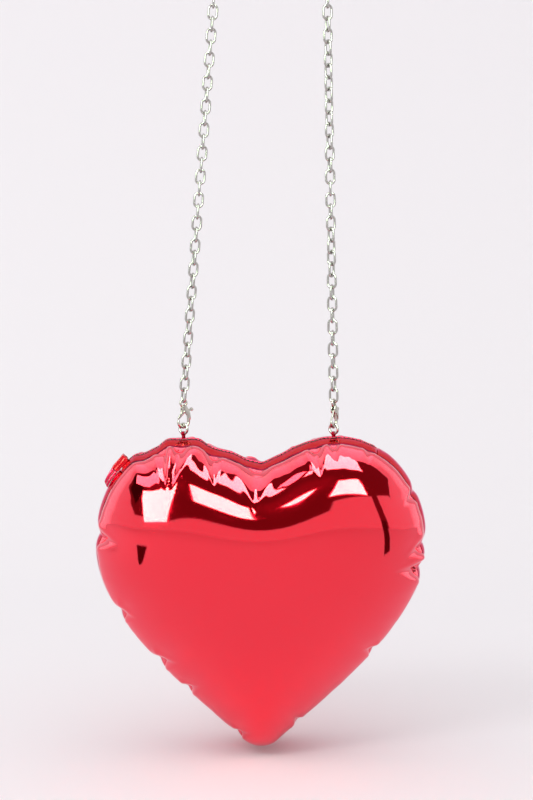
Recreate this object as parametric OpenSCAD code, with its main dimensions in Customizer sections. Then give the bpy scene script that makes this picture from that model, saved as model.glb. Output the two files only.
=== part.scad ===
// Heart shaped purse of padded mirror vinyl, hung by its chain strap.
// Front faces -Y, +Z is up. The origin is the inside of the top of the strap's arc.
// All shapes are laid out about the bag itself: x from its middle line, z up from its lower tip.

/* [Bag] */
// Width of the heart over its two lobes
bag_w = 200; // [160:1:240]
// Height of the heart from its tip to the top of the lobes
bag_h = 188; // [150:1:225]
// Width of the gusset between the front and back seams
gusset_w = 36; // [30:1:50]
// How far each padded face stands out from its seam
puff = 21; // [12:1:28]
// How much lower the seams lie than the crest of the gusset
seam_drop = 2.5; // [1.5:0.1:4]
// How far the lower gusset bulges out past the outline, half way across
gusset_bulge = 1; // [0:0.1:3]
// Thickness of the vinyl with its foam backing
skin_t = 1.2; // [0.8:0.1:1.6]
// Thickness of the lining board
lining_t = 1; // [0.8:0.1:1.6]
// Diameter of the turned-in seam that joins a face to the gusset
seam_d = 1.6; // [1.2:0.1:2]

/* [Zip] */
// Width of the zip tape on each side of the teeth
tape_w = 2.6; // [2:0.1:3]
// Thickness of the zip tape
tape_t = 0.6; // [0.4:0.1:0.9]
// Distance from tooth to tooth along one row
tooth_pitch = 2.5; // [2:0.1:3.5]
// Length of a tooth along the zip
tooth_l = 1.3; // [0.8:0.1:1.6]
// Height of a tooth
tooth_h = 1.2; // [0.8:0.1:1.6]
// Width of a tooth across the zip
tooth_w = 1.3; // [1:0.1:1.6]
// Half of the channel between the two rows of teeth
row_gap = 0.35; // [0.3:0.05:0.5]
// Length of the zip slider
slider_l = 10; // [8:0.5:12]
// Width of the zip slider
slider_w = 6.2; // [5:0.1:6.4]
// Height of the slider's body above the teeth
slider_h = 3.2; // [2.6:0.1:4]
// Thickness of the slider's lower plate
slider_t = 0.8; // [0.6:0.1:1.2]
// Length of the zip puller
puller_l = 21; // [16:1:26]
// Width of the zip puller
puller_w = 6.2; // [5:0.1:6.4]
// Thickness of the strip that the puller is folded from
puller_t = 1.2; // [0.8:0.1:1.5]

/* [Rings and clasps] */
// Distance of the left ring from the middle line
ring_left_x = 47; // [40:1:55]
// Distance of the right ring from the middle line
ring_right_x = 44; // [40:1:55]
// How far behind the zip the rings stand
ring_y = 5.6; // [5.4:0.1:7]
// Inner diameter of a ring
ring_bore = 4.4; // [4.2:0.1:6]
// Wire diameter of a ring
ring_wire = 1.6; // [1.2:0.1:1.7]
// Width of the loop of vinyl that holds a ring
loop_w = 3; // [2.4:0.1:3.4]
// Wire diameter of a clasp's hook
hook_wire = 1.8; // [1.4:0.1:1.9]
// Radius of a clasp's hook at the middle of its wire
hook_r = 3.3; // [3.1:0.1:4]
// Thickness of a clasp's body
clasp_t = 3; // [2.8:0.1:4]
// Thickness of a clasp's gate
gate_t = 1.1; // [0.9:0.1:1.2]
// Diameter of a gate's pin
pin_d = 1.2; // [0.9:0.1:1.4]

/* [Chain] */
// Length of a chain link over all
link_l = 10; // [9:0.1:12]
// Width of a chain link over all
link_w = 6.5; // [6:0.1:8]
// Wire diameter of a chain link
link_wire = 1.5; // [1.2:0.1:1.6]
// Play between two links along the chain
link_play = 0.08; // [0.05:0.01:0.15]
// How far the middle of the strap's arc lies right of the bag's middle line
strap_x = 6; // [0:1:10]

/* [Hidden] */
$fn = 32;

// Colours
vinyl_red = [0.8, 0.08, 0.14];
lining_red = [0.45, 0.05, 0.08];
foam_white = [0.9, 0.88, 0.85];
zip_dark = [0.25, 0.03, 0.06];
bright_steel = [0.8, 0.8, 0.82];

// Clearances
gap = 0.3;
seat = 0.05;
pin_play = 0.05;
part_play = 0.15;
overrun = 1;

// The heart's outline, in shares of half its width, and its height in the same unit
half_w = bag_w / 2;
height_share = 1.88;
unit_z = bag_h / height_share;
lobe_c_share = [0.455, 1.38];
lobe_r_share = 0.5;
side_r_share = 0.71;
flank_reach_share = 0.4;
flank_low_shares = [[0.407, 0.317], [0.116, 0.046]];
tip_c_share = [0, 0.17];
tip_r_share = 0.17;
cleft_share = [0, 1.735];
lobe_start_deg = 112;
lobe_end_deg = 38;
side_end_deg = -28;
tip_start_deg = -47;
zip_left_deg = 38;
zip_right_deg = 60;
teeth_left_deg = 44;
slider_deg = 41;
facet_deg = 7;
side_steps = 8;
flank_steps = 10;
tip_steps = 4;
side_c_share = lobe_c_share - (side_r_share - lobe_r_share) * [cos(lobe_end_deg), sin(lobe_end_deg)];
side_end_share = side_c_share + side_r_share * [cos(side_end_deg), sin(side_end_deg)];
flank_shares = concat(
  [side_end_share, side_end_share + flank_reach_share * [sin(side_end_deg), -cos(side_end_deg)]],
  flank_low_shares
);

function shares_to_size(p) = [p.x * half_w, p.y * unit_z];
function round_stretch(c, r, a0, a1, n) =
  [for (i = [0:n]) shares_to_size(c + r * [cos(a0 + (a1 - a0) * i / n), sin(a0 + (a1 - a0) * i / n)])];
function bow(p, t) =
  pow(1 - t, 3) * p[0] + 3 * t * pow(1 - t, 2) * p[1] + 3 * t * t * (1 - t) * p[2] + pow(t, 3) * p[3];
function flank(n) = [for (i = [1:n - 1]) shares_to_size(bow(flank_shares, i / n))];
function lobe_from(a0) =
  round_stretch(lobe_c_share, lobe_r_share, a0, lobe_end_deg, ceil((a0 - lobe_end_deg) / facet_deg));
function side_on() =
  without_first(round_stretch(side_c_share, side_r_share, lobe_end_deg, side_end_deg, side_steps));
function tip_on() = round_stretch(tip_c_share, tip_r_share, tip_start_deg, -90, tip_steps);
function side_from(a0) = concat(
  a0 > lobe_end_deg ? lobe_from(a0) : [lobe_point(lobe_end_deg)],
  side_on(), flank(flank_steps), tip_on()
);
function lobe_point(a) = shares_to_size(lobe_c_share + lobe_r_share * [cos(a), sin(a)]);
function mirrored(p) = [for (i = [len(p) - 1:-1:0]) [-p[i].x, p[i].y]];
function without_first(p) = [for (i = [1:len(p) - 1]) p[i]];
function cleft() = [shares_to_size(cleft_share)];
function heart_path() =
  concat(cleft(), side_from(lobe_start_deg), without_first(mirrored(side_from(lobe_start_deg))));
function zip_lobe(a1) =
  round_stretch(lobe_c_share, lobe_r_share, lobe_start_deg, a1, ceil((lobe_start_deg - a1) / facet_deg));
function zip_path() =
  concat(mirrored(zip_lobe(zip_left_deg + 2 * end_turn)), cleft(), zip_lobe(zip_right_deg + 2 * end_turn));
function lower_path() = concat(side_from(zip_right_deg), without_first(mirrored(side_from(zip_left_deg))));

// Directions along a path and outward from it
function step_from(p, i, closed) = closed ? p[(i + 1) % len(p)] : p[min(i + 1, len(p) - 1)];
function step_to(p, i, closed) = closed ? p[(i + len(p) - 1) % len(p)] : p[max(i - 1, 0)];
function outward(p, i, closed) =
  let (a = p[i] - step_to(p, i, closed), b = step_from(p, i, closed) - p[i],
       t = (norm(a) > 0 ? a / norm(a) : [0, 0]) + (norm(b) > 0 ? b / norm(b) : [0, 0]))
  [-t.y, t.x] / norm(t);
function inset_path(p, d, closed) = [for (i = [0:len(p) - 1]) p[i] - d * outward(p, i, closed)];
function at_depth(p, y) = [for (q = p) [q.x, y, q.y]];

// A closed mesh through rings of equal length, capped at both ends or joined end to end
module swept(rings, joined) {
  n = len(rings[0]);
  m = len(rings);
  points = [for (r = rings) for (q = r) q];
  sides = [for (j = [0:joined ? m - 1 : m - 2]) for (i = [0:n - 1])
    let (a = j * n + i, b = j * n + (i + 1) % n, c = ((j + 1) % m) * n + (i + 1) % n, d = ((j + 1) % m) * n + i)
    each [[a, b, c], [a, c, d]]];
  caps = joined ? [] : [[for (i = [n - 1:-1:0]) i], [for (i = [0:n - 1]) (m - 1) * n + i]];
  polyhedron(points, concat(sides, caps), convexity = 6);
}

// The gusset's crown: how far its surface lies inside the outline at depth y
half_g = gusset_w / 2;
function crown(y) = seam_drop * pow(y / half_g, 2);

// A strip along a path between two depths, following the crown, with its outer face lowered by sink
strip_steps = 4;
module strip(p, y0, y1, sink, t, bulge) {
  ys = [for (k = [0:strip_steps]) y0 + (y1 - y0) * k / strip_steps];
  rings = [for (i = [0:len(p) - 1])
    let (o = outward(p, i, false))
    concat(
      [for (k = [0:strip_steps]) let (d = sink + crown(ys[k]) - bulge * (1 - pow(ys[k] / half_g, 2)))
        [p[i].x - d * o.x, ys[k], p[i].y - d * o.y]],
      [for (k = [strip_steps:-1:0]) let (d = sink + t + crown(ys[k]) - bulge * (1 - pow(ys[k] / half_g, 2)))
        [p[i].x - d * o.x, ys[k], p[i].y - d * o.y]]
    )];
  swept(rings, false);
}

// Padded faces: each ring is the seam's outline drawn in towards the middle and lifted
middle_share = [0, 0.95];
ring_shares = [1, 0.985, 0.93, 0.82, 0.65, 0.42, 0.14];
panel_inset = seam_drop + seat;
panel_y = half_g + seam_d / 2 + gap;
seam_sunk = 0.4;
pad_set_back = 3;
flat_power = 2.3;
round_power = 0.62;
function lift(s) = pow(1 - pow(s, flat_power), round_power);
function drawn_in(p, s) = [for (q = p) shares_to_size(middle_share) + s * (q - shares_to_size(middle_share))];
module padded_face(side) {
  rim = inset_path(heart_path(), panel_inset, true);
  rim_in = inset_path(heart_path(), panel_inset + skin_t, true);
  last = len(ring_shares) - 1;
  inner = [for (k = [last:-1:0]) at_depth(drawn_in(rim_in, ring_shares[k]),
    side * (panel_y - seat + (puff - skin_t) * lift(ring_shares[k])))];
  outer = [for (k = [0:last]) at_depth(drawn_in(rim, ring_shares[k]),
    side * (panel_y + puff * lift(ring_shares[k])))];
  mirror([0, side > 0 ? 0 : 1, 0]) swept(mirror_rings(concat(inner, outer), side), false);
}
function mirror_rings(r, side) = side > 0 ? r : [for (ring = r) [for (q = ring) [q.x, -q.y, q.z]]];
module padding(side) {
  rim = inset_path(heart_path(), seam_drop + seam_sunk + seam_d + gap, true);
  last = len(ring_shares) - 1;
  back_y = half_g - pad_set_back;
  rings = concat(
    [for (k = [last:-1:0]) at_depth(drawn_in(rim, ring_shares[k]), back_y)],
    [for (k = [0:last]) at_depth(drawn_in(rim, ring_shares[k]),
      panel_y - gap + (puff - skin_t - gap) * lift(ring_shares[k]))]
  );
  mirror([0, side > 0 ? 0 : 1, 0]) swept(rings, false);
}
lining_y = half_g - pad_set_back - gap;
edge_y = half_g - seam_d / 2 - gap;
lining_inset = crown(edge_y) + skin_t + gap;
module lining(side) {
  translate([0, side > 0 ? lining_y : lining_t - lining_y, 0]) rotate([90, 0, 0])
    linear_extrude(lining_t) polygon(inset_path(heart_path(), lining_inset, true));
}
cord_sides = 6;
module seam(side) {
  line = inset_path(heart_path(), seam_drop + seam_sunk + seam_d / 2, true);
  r = seam_d / 2;
  rings = [for (i = [0:len(line) - 1]) let (o = outward(line, i, true))
    [for (k = [0:cord_sides - 1]) let (a = 360 * k / cord_sides)
      [line[i].x + r * cos(a) * o.x, side * half_g + r * sin(a), line[i].y + r * cos(a) * o.y]]];
  swept(rings, true);
}

// Zip: band, tape and teeth lie beside each other, each row on its own side of the channel
tape_in = row_gap + tooth_w + seat;
tape_out = tape_in + tape_w - tooth_w;
band_in = tape_out + seat;
teeth_sink = 0.4;
module zip_band(side) {
  strip(zip_path(), side > 0 ? band_in : -edge_y, side > 0 ? edge_y : -band_in, 0, skin_t, 0);
}
module zip_tape(side) {
  strip(zip_path(), side > 0 ? tape_in : -tape_out, side > 0 ? tape_out : -tape_in, teeth_sink, tape_t, 0);
}
lobe_r = lobe_r_share * half_w;
lobe_c = shares_to_size(lobe_c_share);
tooth_turn = tooth_pitch / lobe_r * 180 / PI;
end_turn = gap / lobe_r * 180 / PI;
row_shifts = [0, 0.5];
first_on_lobe = 0.25;
first_on_slope = 0.75;
lobe_last = lobe_point(lobe_start_deg);
slope_len = norm(lobe_last - cleft()[0]);
module tooth(side) {
  translate([-tooth_l / 2, side > 0 ? row_gap : -row_gap - tooth_w, -tooth_h - teeth_sink + tape_t])
    cube([tooth_l, tooth_w, tooth_h]);
}
module on_lobe(sx, a, lowered = 0) {
  p = lobe_point(a);
  translate([sx * p.x, 0, p.y]) rotate([0, sx * (90 - a), 0]) translate([0, 0, -lowered]) children();
}
module teeth(side) {
  shift = side > 0 ? row_shifts[0] : row_shifts[1];
  for (sx = [-1, 1]) {
    last_a = sx > 0 ? zip_right_deg : teeth_left_deg;
    for (i = [0:floor((lobe_start_deg - last_a) / tooth_turn) - 1])
      on_lobe(sx, lobe_start_deg - (i + shift + first_on_lobe) * tooth_turn) tooth(side);
    for (i = [0:floor(slope_len / tooth_pitch) - 2]) {
      p = lobe_last + (cleft()[0] - lobe_last) * (i + shift + first_on_slope) * tooth_pitch / slope_len;
      slope = atan2(lobe_last.y - cleft()[0].y, lobe_last.x - cleft()[0].x);
      translate([sx * p.x, 0, p.y]) rotate([0, -sx * slope, 0]) tooth(side);
    }
  }
}

// Slider: a body above the teeth and a plate below them, joined by a thin neck in the channel
neck_l = 3;
neck_w = 2 * row_gap - 2 * part_play;
slide_play = 0.5;
body_low = tape_t - teeth_sink + slide_play;
plate_low = tooth_h + teeth_sink - tape_t + slide_play;
hinge_r = 0.6;
hinge_x = slider_l / 2 - slider_t;
hinge_z = body_low + slider_h + pin_play;
ear_t = 0.9;
strap_play = 0.15;
puller_eye_w = slider_w - 2 * ear_t - 2 * part_play;
module zip_slider() {
  color(vinyl_red) on_lobe(-1, slider_deg) {
    difference() {
      translate([-slider_l / 2, -slider_w / 2, body_low])
        cube([slider_l, slider_w, slider_h - hinge_r - strap_play]);
      translate([hinge_x, 0, hinge_z]) rotate([90, 0, 0])
        cylinder(r = 2 * hinge_r + part_play, h = puller_eye_w + 2 * part_play, center = true);
    }
    translate([-slider_l / 2, -slider_w / 2, -plate_low - slider_t]) cube([slider_l, slider_w, slider_t]);
    translate([slider_l / 2 - neck_l, -neck_w / 2, -plate_low - slider_t / 2])
      cube([neck_l, neck_w, plate_low + body_low + slider_t]);
    for (e = [-1, 1]) translate([hinge_x, e * (slider_w - ear_t) / 2, hinge_z]) {
      rotate([90, 0, 0]) cylinder(r = 2 * hinge_r, h = ear_t, center = true);
      translate([-2 * hinge_r, -ear_t / 2, -2 * hinge_r - strap_play])
        cube([4 * hinge_r, ear_t, 2 * hinge_r + strap_play]);
    }
    translate([hinge_x, 0, hinge_z]) rotate([90, 0, 0])
      cylinder(r = hinge_r - pin_play, h = slider_w, center = true);
  }
}

// Puller: a strip of vinyl folded back on itself below the slider, lying on the gusset
puller_fold_drop = 1.8;
puller_steps = 3;
function puller_drop(x) = (x < 0 ? x * x : 0) / (2 * side_r_share * half_w);
module zip_puller() {
  top = hinge_z - hinge_r + puller_t;
  low = hinge_x - puller_l;
  fold = -slider_l / 2 - part_play;
  color(vinyl_red) on_lobe(-1, slider_deg) difference() {
    union() {
      translate([hinge_x, 0, hinge_z]) rotate([90, 0, 0])
        cylinder(r = 2 * hinge_r - seat, h = puller_eye_w, center = true);
      translate([0, puller_eye_w / 2, 0]) rotate([90, 0, 0]) linear_extrude(puller_eye_w)
        polygon([[hinge_x, hinge_z - hinge_r], [hinge_x, top], [fold, top], [fold, hinge_z - hinge_r]]);
      translate([0, puller_w / 2, 0]) rotate([90, 0, 0]) linear_extrude(puller_w) polygon([
        [fold, top],
        [fold, gusset_bulge + gap - puller_drop(fold)],
        for (i = [1:puller_steps]) let (x = fold + (low + puller_t - fold) * i / puller_steps)
          [x, gusset_bulge + gap - puller_drop(x)],
        [low, top - puller_fold_drop - puller_t],
        [low + puller_t / 2, top - puller_fold_drop],
        [(fold + low) / 2, top - puller_fold_drop / 3]
      ]);
    }
    translate([hinge_x, 0, hinge_z]) rotate([90, 0, 0])
      cylinder(r = hinge_r, h = puller_w + overrun, center = true);
  }
}

// Rings, each in a loop of vinyl just behind the zip
ring_r = (ring_bore + ring_wire) / 2;
function crest_z(x) = lobe_c.y + sqrt(pow(lobe_r, 2) - pow(x - lobe_c.x, 2)) * unit_z / half_w;
ring_yaw_deg = 37;
ring_play = 0.25;
loop_r = ring_wire / 2 + ring_play + skin_t / 2;
loop_x = loop_w / 2 * cos(ring_yaw_deg) + loop_r * sin(ring_yaw_deg);
loop_y = loop_w / 2 * sin(ring_yaw_deg) + loop_r * cos(ring_yaw_deg);
function loop_foot(x) =
  crest_z(max(x - loop_x, min(lobe_c.x, x + loop_x))) - crown(ring_y - loop_y) + seat;
ring_foot = loop_foot(lobe_c.x) + gap + ring_play + ring_wire / 2;
ring_z = ring_foot + ring_r;
module ring(x) {
  color(bright_steel) translate([x, ring_y, ring_z]) rotate([90, 0, -ring_yaw_deg])
    rotate_extrude($fn = 48) translate([ring_r, 0]) circle(d = ring_wire, $fn = 24);
}
module ring_tab(x) {
  foot = loop_foot(abs(x));
  color(vinyl_red) difference() {
    translate([x, ring_y, ring_foot]) rotate([0, 0, -ring_yaw_deg]) union() {
      rotate([0, 90, 0]) cylinder(r = loop_r, h = loop_w, center = true);
      translate([-loop_w / 2, -loop_r, foot - ring_foot]) cube([loop_w, 2 * loop_r, ring_foot - foot]);
    }
    translate([x, ring_y, ring_z]) rotate([90, 0, -ring_yaw_deg])
      rotate_extrude($fn = 48) translate([ring_r, 0]) circle(d = ring_wire + 2 * ring_play, $fn = 24);
    translate([x - loop_w, ring_y - loop_w, foot - loop_r]) cube([2 * loop_w, 2 * loop_w, loop_r]);
  }
}

// Clasps, drawn about the middle of the hook in the clasp's own plane
hook_low = ring_z + ring_bore / 2 - gap - hook_wire / 2;
hook_z = hook_low + hook_r;
clasp_left_deg = 25;
clasp_right_deg = 62;
cheek_r = 3.7;
pin_over_hook = 2.9;
pin_up = hook_r + pin_over_hook;
pin_side = 0.2;
hook_tip_deg = 165;
eye_r = 2;
eye_wire = 1.6;
eye_up = pin_up + cheek_r + eye_r - eye_wire / 4;
gate_w = 1.4;
gate_end = [-hook_r, hook_r * sin(180 - hook_tip_deg) + gap + part_play];
slot_w = gate_t + 2 * part_play;
knob_d = 2.2;
knob_reach = 5.2;
knob_up = 1.1;
knob_room = 3.5;
spring_wire = 0.3;
module in_clasp(x, yaw) {
  translate([x, ring_y, hook_z]) rotate([90, 0, yaw]) children();
}
module clasp_body(x, yaw) {
  color(bright_steel) in_clasp(x, yaw) {
    difference() {
      union() {
        rotate([0, 0, hook_tip_deg]) rotate_extrude(angle = 360 - hook_tip_deg, $fn = 48)
          translate([hook_r, 0]) circle(d = hook_wire, $fn = 24);
        rotate([-90, 0, 0]) translate([hook_r, 0, 0])
          cylinder(d = hook_wire, h = pin_up - cheek_r / 2, $fn = 24);
        translate([pin_side, pin_up, 0]) cylinder(r = cheek_r, h = clasp_t, center = true);
        translate([0, eye_up, 0]) rotate_extrude($fn = 48) translate([eye_r, 0]) circle(d = eye_wire, $fn = 24);
      }
      translate([-hook_r - hook_wire, pin_up - cheek_r - overrun, -slot_w / 2])
        cube([hook_r + hook_wire + pin_d + knob_d / 2, cheek_r + overrun + gate_w + part_play, slot_w]);
      translate([0, pin_up - gate_w / 2 - part_play, -slot_w / 2])
        cube([knob_reach + knob_d, knob_room, slot_w]);
      translate([pin_side, pin_up, 0]) cylinder(d = pin_d + 2 * seat, h = clasp_t + overrun, center = true);
    }
  }
}
module clasp_pin(x, yaw) {
  color(bright_steel) in_clasp(x, yaw) translate([pin_side, pin_up, 0])
    cylinder(d = pin_d, h = clasp_t, center = true);
}
module clasp_spring(x, yaw) {
  color(bright_steel) in_clasp(x, yaw) translate([pin_side, pin_up, -slot_w / 2 + spring_wire / 2 + seat / 2])
    rotate_extrude() translate([pin_d / 2 + spring_wire, 0]) circle(d = spring_wire - seat, $fn = 16);
}
module clasp_gate(x, yaw) {
  pin = [pin_side, pin_up];
  arm = gate_end - pin;
  reach = norm(arm);
  lean = atan2(arm.x, -arm.y);
  knob = [knob_reach - pin_side, knob_up];
  t = gate_t - spring_wire;
  color(bright_steel) in_clasp(x, yaw) translate([pin.x, pin.y, spring_wire / 2]) difference() {
    union() {
      cylinder(r = gate_w, h = t, center = true);
      rotate([0, 0, lean]) translate([-gate_w / 2, -reach, -t / 2]) cube([gate_w, reach, t]);
      rotate([0, 0, atan2(knob.y, knob.x)]) translate([0, -gate_w / 2, -t / 2]) cube([norm(knob), gate_w, t]);
      translate([knob.x, knob.y, 0]) cylinder(d = knob_d, h = t, center = true);
    }
    cylinder(d = pin_d + 2 * pin_play, h = gate_t + overrun, center = true);
  }
}

// Chain: oval links hooked through each other, every other one turned a quarter
links_each = 18;
arc_links = 15;
pitch = link_l - 2 * link_wire - link_play;
link_c = link_l / 2 - link_wire / 2;
eye_top = hook_z + eye_up + eye_r;
chain_low = eye_top - eye_wire / 2 - link_wire / 2 - seat + link_c - pitch / 2;
arc_z = chain_low + 2 * links_each * pitch;
arc_r = pitch / (2 * sin(90 / arc_links));
hang_z = arc_z + arc_r - link_w / 2;
left_twist_deg = 12;
right_twist_deg = 42;
module link() {
  s = (link_l - link_w) / 2;
  r = (link_w - link_wire) / 2;
  for (e = [0, 1]) rotate([0, 180 * e, 0]) translate([0, 0, s]) rotate([90, 0, 0])
    rotate_extrude(angle = 180) translate([r, 0]) circle(d = link_wire, $fn = 24);
  for (e = [-1, 1]) translate([e * r, 0, -s]) cylinder(d = link_wire, h = 2 * s, $fn = 24);
}
module strand(foot_x, top_x, first, twist, foot_turn) {
  rise = 2 * links_each * pitch;
  lean = atan2(top_x - foot_x, rise);
  for (i = [first:first + links_each - 1]) {
    up = (i + 0.5) / (2 * links_each);
    along = (i - first) / (links_each - 1);
    color(bright_steel) translate([foot_x + (top_x - foot_x) * up, ring_y, chain_low + rise * up])
      rotate([0, lean, 0])
        rotate([0, 0, 90 * (i + 1) + twist * sin(180 * along) + foot_turn * (1 - along)]) link();
  }
}
module chain_top() {
  for (i = [0:arc_links - 1]) {
    a = 180 * (i + 0.5) / arc_links;
    color(bright_steel) translate([strap_x - arc_r * cos(a) * cos(90 / arc_links), ring_y,
      arc_z + arc_r * sin(a) * cos(90 / arc_links)])
      rotate([0, a, 0]) rotate([0, 0, 90 * (i + 1)]) link();
  }
}

// Nodes
module in_frame() {
  translate([-strap_x, -ring_y, -hang_z]) children();
}
module chain_left_upper() { strand(-ring_left_x, strap_x - arc_r, links_each, left_twist_deg, 0); }
module chain_left_lower() { strand(-ring_left_x, strap_x - arc_r, 0, left_twist_deg, clasp_left_deg); }
module chain_right_upper() { strand(ring_right_x, strap_x + arc_r, links_each, right_twist_deg, 0); }
module chain_right_lower() { strand(ring_right_x, strap_x + arc_r, 0, right_twist_deg, clasp_right_deg); }
module back_panel() { color(vinyl_red) padded_face(1); }
module front_panel() { color(vinyl_red) padded_face(-1); }
module back_padding() { color(foam_white) padding(1); }
module front_padding() { color(foam_white) padding(-1); }
module back_lining() { color(lining_red) lining(1); }
module front_lining() { color(lining_red) lining(-1); }
module back_seam() { color(vinyl_red) seam(1); }
module front_seam() { color(vinyl_red) seam(-1); }
module back_zip_band() { color(vinyl_red) zip_band(1); }
module front_zip_band() { color(vinyl_red) zip_band(-1); }
module back_zip_tape() { color(zip_dark) zip_tape(1); }
module front_zip_tape() { color(zip_dark) zip_tape(-1); }
module back_zip_teeth() { color(zip_dark) teeth(1); }
module front_zip_teeth() { color(zip_dark) teeth(-1); }
module lower_gusset() { color(vinyl_red) strip(lower_path(), -edge_y, edge_y, gap, skin_t, gusset_bulge); }
module clasp_body_left() { clasp_body(-ring_left_x, clasp_left_deg); }
module clasp_gate_left() { clasp_gate(-ring_left_x, clasp_left_deg); }
module clasp_pin_left() { clasp_pin(-ring_left_x, clasp_left_deg); }
module clasp_spring_left() { clasp_spring(-ring_left_x, clasp_left_deg); }
module clasp_body_right() { clasp_body(ring_right_x, clasp_right_deg); }
module clasp_gate_right() { clasp_gate(ring_right_x, clasp_right_deg); }
module clasp_pin_right() { clasp_pin(ring_right_x, clasp_right_deg); }
module clasp_spring_right() { clasp_spring(ring_right_x, clasp_right_deg); }
module ring_left() { ring(-ring_left_x); }
module ring_right() { ring(ring_right_x); }
module ring_tab_left() { ring_tab(-ring_left_x); }
module ring_tab_right() { ring_tab(ring_right_x); }
in_frame() chain_top();
in_frame() chain_left_upper();
in_frame() chain_left_lower();
in_frame() chain_right_upper();
in_frame() chain_right_lower();
in_frame() clasp_body_left();
in_frame() clasp_gate_left();
in_frame() clasp_pin_left();
in_frame() clasp_spring_left();
in_frame() clasp_body_right();
in_frame() clasp_gate_right();
in_frame() clasp_pin_right();
in_frame() clasp_spring_right();
in_frame() ring_left();
in_frame() ring_right();
in_frame() ring_tab_left();
in_frame() ring_tab_right();
in_frame() back_panel();
in_frame() back_padding();
in_frame() back_lining();
in_frame() back_seam();
in_frame() back_zip_band();
in_frame() back_zip_tape();
in_frame() back_zip_teeth();
in_frame() front_panel();
in_frame() front_padding();
in_frame() front_lining();
in_frame() front_seam();
in_frame() front_zip_band();
in_frame() front_zip_tape();
in_frame() front_zip_teeth();
in_frame() lower_gusset();
in_frame() zip_slider();
in_frame() zip_puller();
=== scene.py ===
import math

import bpy
import numpy as np
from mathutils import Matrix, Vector


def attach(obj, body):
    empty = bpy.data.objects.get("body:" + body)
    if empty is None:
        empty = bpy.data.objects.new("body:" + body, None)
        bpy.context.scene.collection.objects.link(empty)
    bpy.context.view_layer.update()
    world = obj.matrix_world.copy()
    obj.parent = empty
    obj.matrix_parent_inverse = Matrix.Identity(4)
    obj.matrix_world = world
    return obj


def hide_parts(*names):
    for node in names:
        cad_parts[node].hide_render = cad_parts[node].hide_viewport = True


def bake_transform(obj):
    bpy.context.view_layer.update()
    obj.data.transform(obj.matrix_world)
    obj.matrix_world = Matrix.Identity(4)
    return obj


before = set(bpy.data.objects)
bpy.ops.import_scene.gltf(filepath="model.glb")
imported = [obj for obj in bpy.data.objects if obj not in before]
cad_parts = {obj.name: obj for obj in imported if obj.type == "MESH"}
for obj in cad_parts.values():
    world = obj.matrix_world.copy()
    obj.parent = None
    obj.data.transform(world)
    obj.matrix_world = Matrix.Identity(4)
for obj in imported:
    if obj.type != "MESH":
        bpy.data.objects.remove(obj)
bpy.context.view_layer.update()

# Camera and studio
# The bag hangs upright before a pale sweep of paper, seen from a little above. Round the camera
# stand dark panels, bright windows, a soft box and pale walls, for the mirror vinyl to show.
STRAP_TOP = np.array([6.0, 5.6, 488.273])
VIEW_MIDDLE = (3.3, 0.0, 210.5)
VIEW_REACH = 1.3
VIEW_LIFT = 7
VIEW_LENS = 97.1
SENSOR_WIDTH = 36
LAMP_PLACE = (-900, -1100, 1250)
LAMP_AIM = (0, 0, 120)
LAMP_SIZE = 0.6
LAMP_POWER = 5.0


def placed(points):
    """Bag millimetres to frame metres: less the strap's top, over a thousand."""
    return (np.asarray(points, float) - STRAP_TOP) / 1000


def toward_angles(azimuth, lift):
    """A direction by its degrees to the right of the camera's side (-y), and above level."""
    across, up = math.radians(azimuth), math.radians(lift)
    return np.array([math.sin(across) * math.cos(up), -math.cos(across) * math.cos(up), math.sin(up)])


def stood(name, data, place, aim):
    """A camera or lamp in the scene at a place, turned to face its aim, both in metres."""
    made = bpy.data.objects.new(name, data)
    bpy.context.scene.collection.objects.link(made)
    made.location = Vector(place)
    made.rotation_euler = (Vector(aim) - made.location).to_track_quat("-Z", "Y").to_euler()
    return made


camera_data = bpy.data.cameras.new("camera")
camera_data.lens = VIEW_LENS
camera_data.sensor_width = SENSOR_WIDTH
looked_at = placed(VIEW_MIDDLE)
camera = stood("camera", camera_data, looked_at + VIEW_REACH * toward_angles(0, VIEW_LIFT), looked_at)
bpy.context.scene.camera = camera
bpy.context.scene.view_settings.view_transform = "Standard"

lamp_data = bpy.data.lights.new("key_lamp", "AREA")
lamp_data.size = LAMP_SIZE
lamp_data.energy = LAMP_POWER
stood("key_lamp", lamp_data, placed(LAMP_PLACE), placed(LAMP_AIM))

# A Mix node's sockets for its first and second colour, and its colour output.
MIX_FIRST, MIX_SECOND, MIX_OUT = 6, 7, 2


def node_in(tree, kind, **sockets):
    """Adds a node and sets its inputs by name."""
    node = tree.nodes.new(kind)
    for name, value in sockets.items():
        node.inputs[name].default_value = value
    return node


def math_in(tree, kind, first, second=None, third=None, clamp=False):
    """One Math node over sockets or numbers, and its output."""
    node = tree.nodes.new("ShaderNodeMath")
    node.operation = kind
    node.use_clamp = clamp
    for socket, value in zip(node.inputs, (first, second, third)):
        if isinstance(value, (int, float)):
            socket.default_value = value
        elif value is not None:
            tree.links.new(value, socket)
    return node.outputs[0]


def mix_in(tree, factor, first, second):
    """A mix of two colours, each a tuple or a socket, by a factor, and its output."""
    node = tree.nodes.new("ShaderNodeMix")
    node.data_type = "RGBA"
    tree.links.new(factor, node.inputs["Factor"])
    for socket, colour in ((MIX_FIRST, first), (MIX_SECOND, second)):
        if isinstance(colour, tuple):
            node.inputs[socket].default_value = colour
        else:
            tree.links.new(colour, node.inputs[socket])
    return node.outputs[MIX_OUT]


def light_path(tree, ray):
    """1 for light rays of one kind and 0 for the rest."""
    return tree.nodes.new("ShaderNodeLightPath").outputs[ray]


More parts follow.
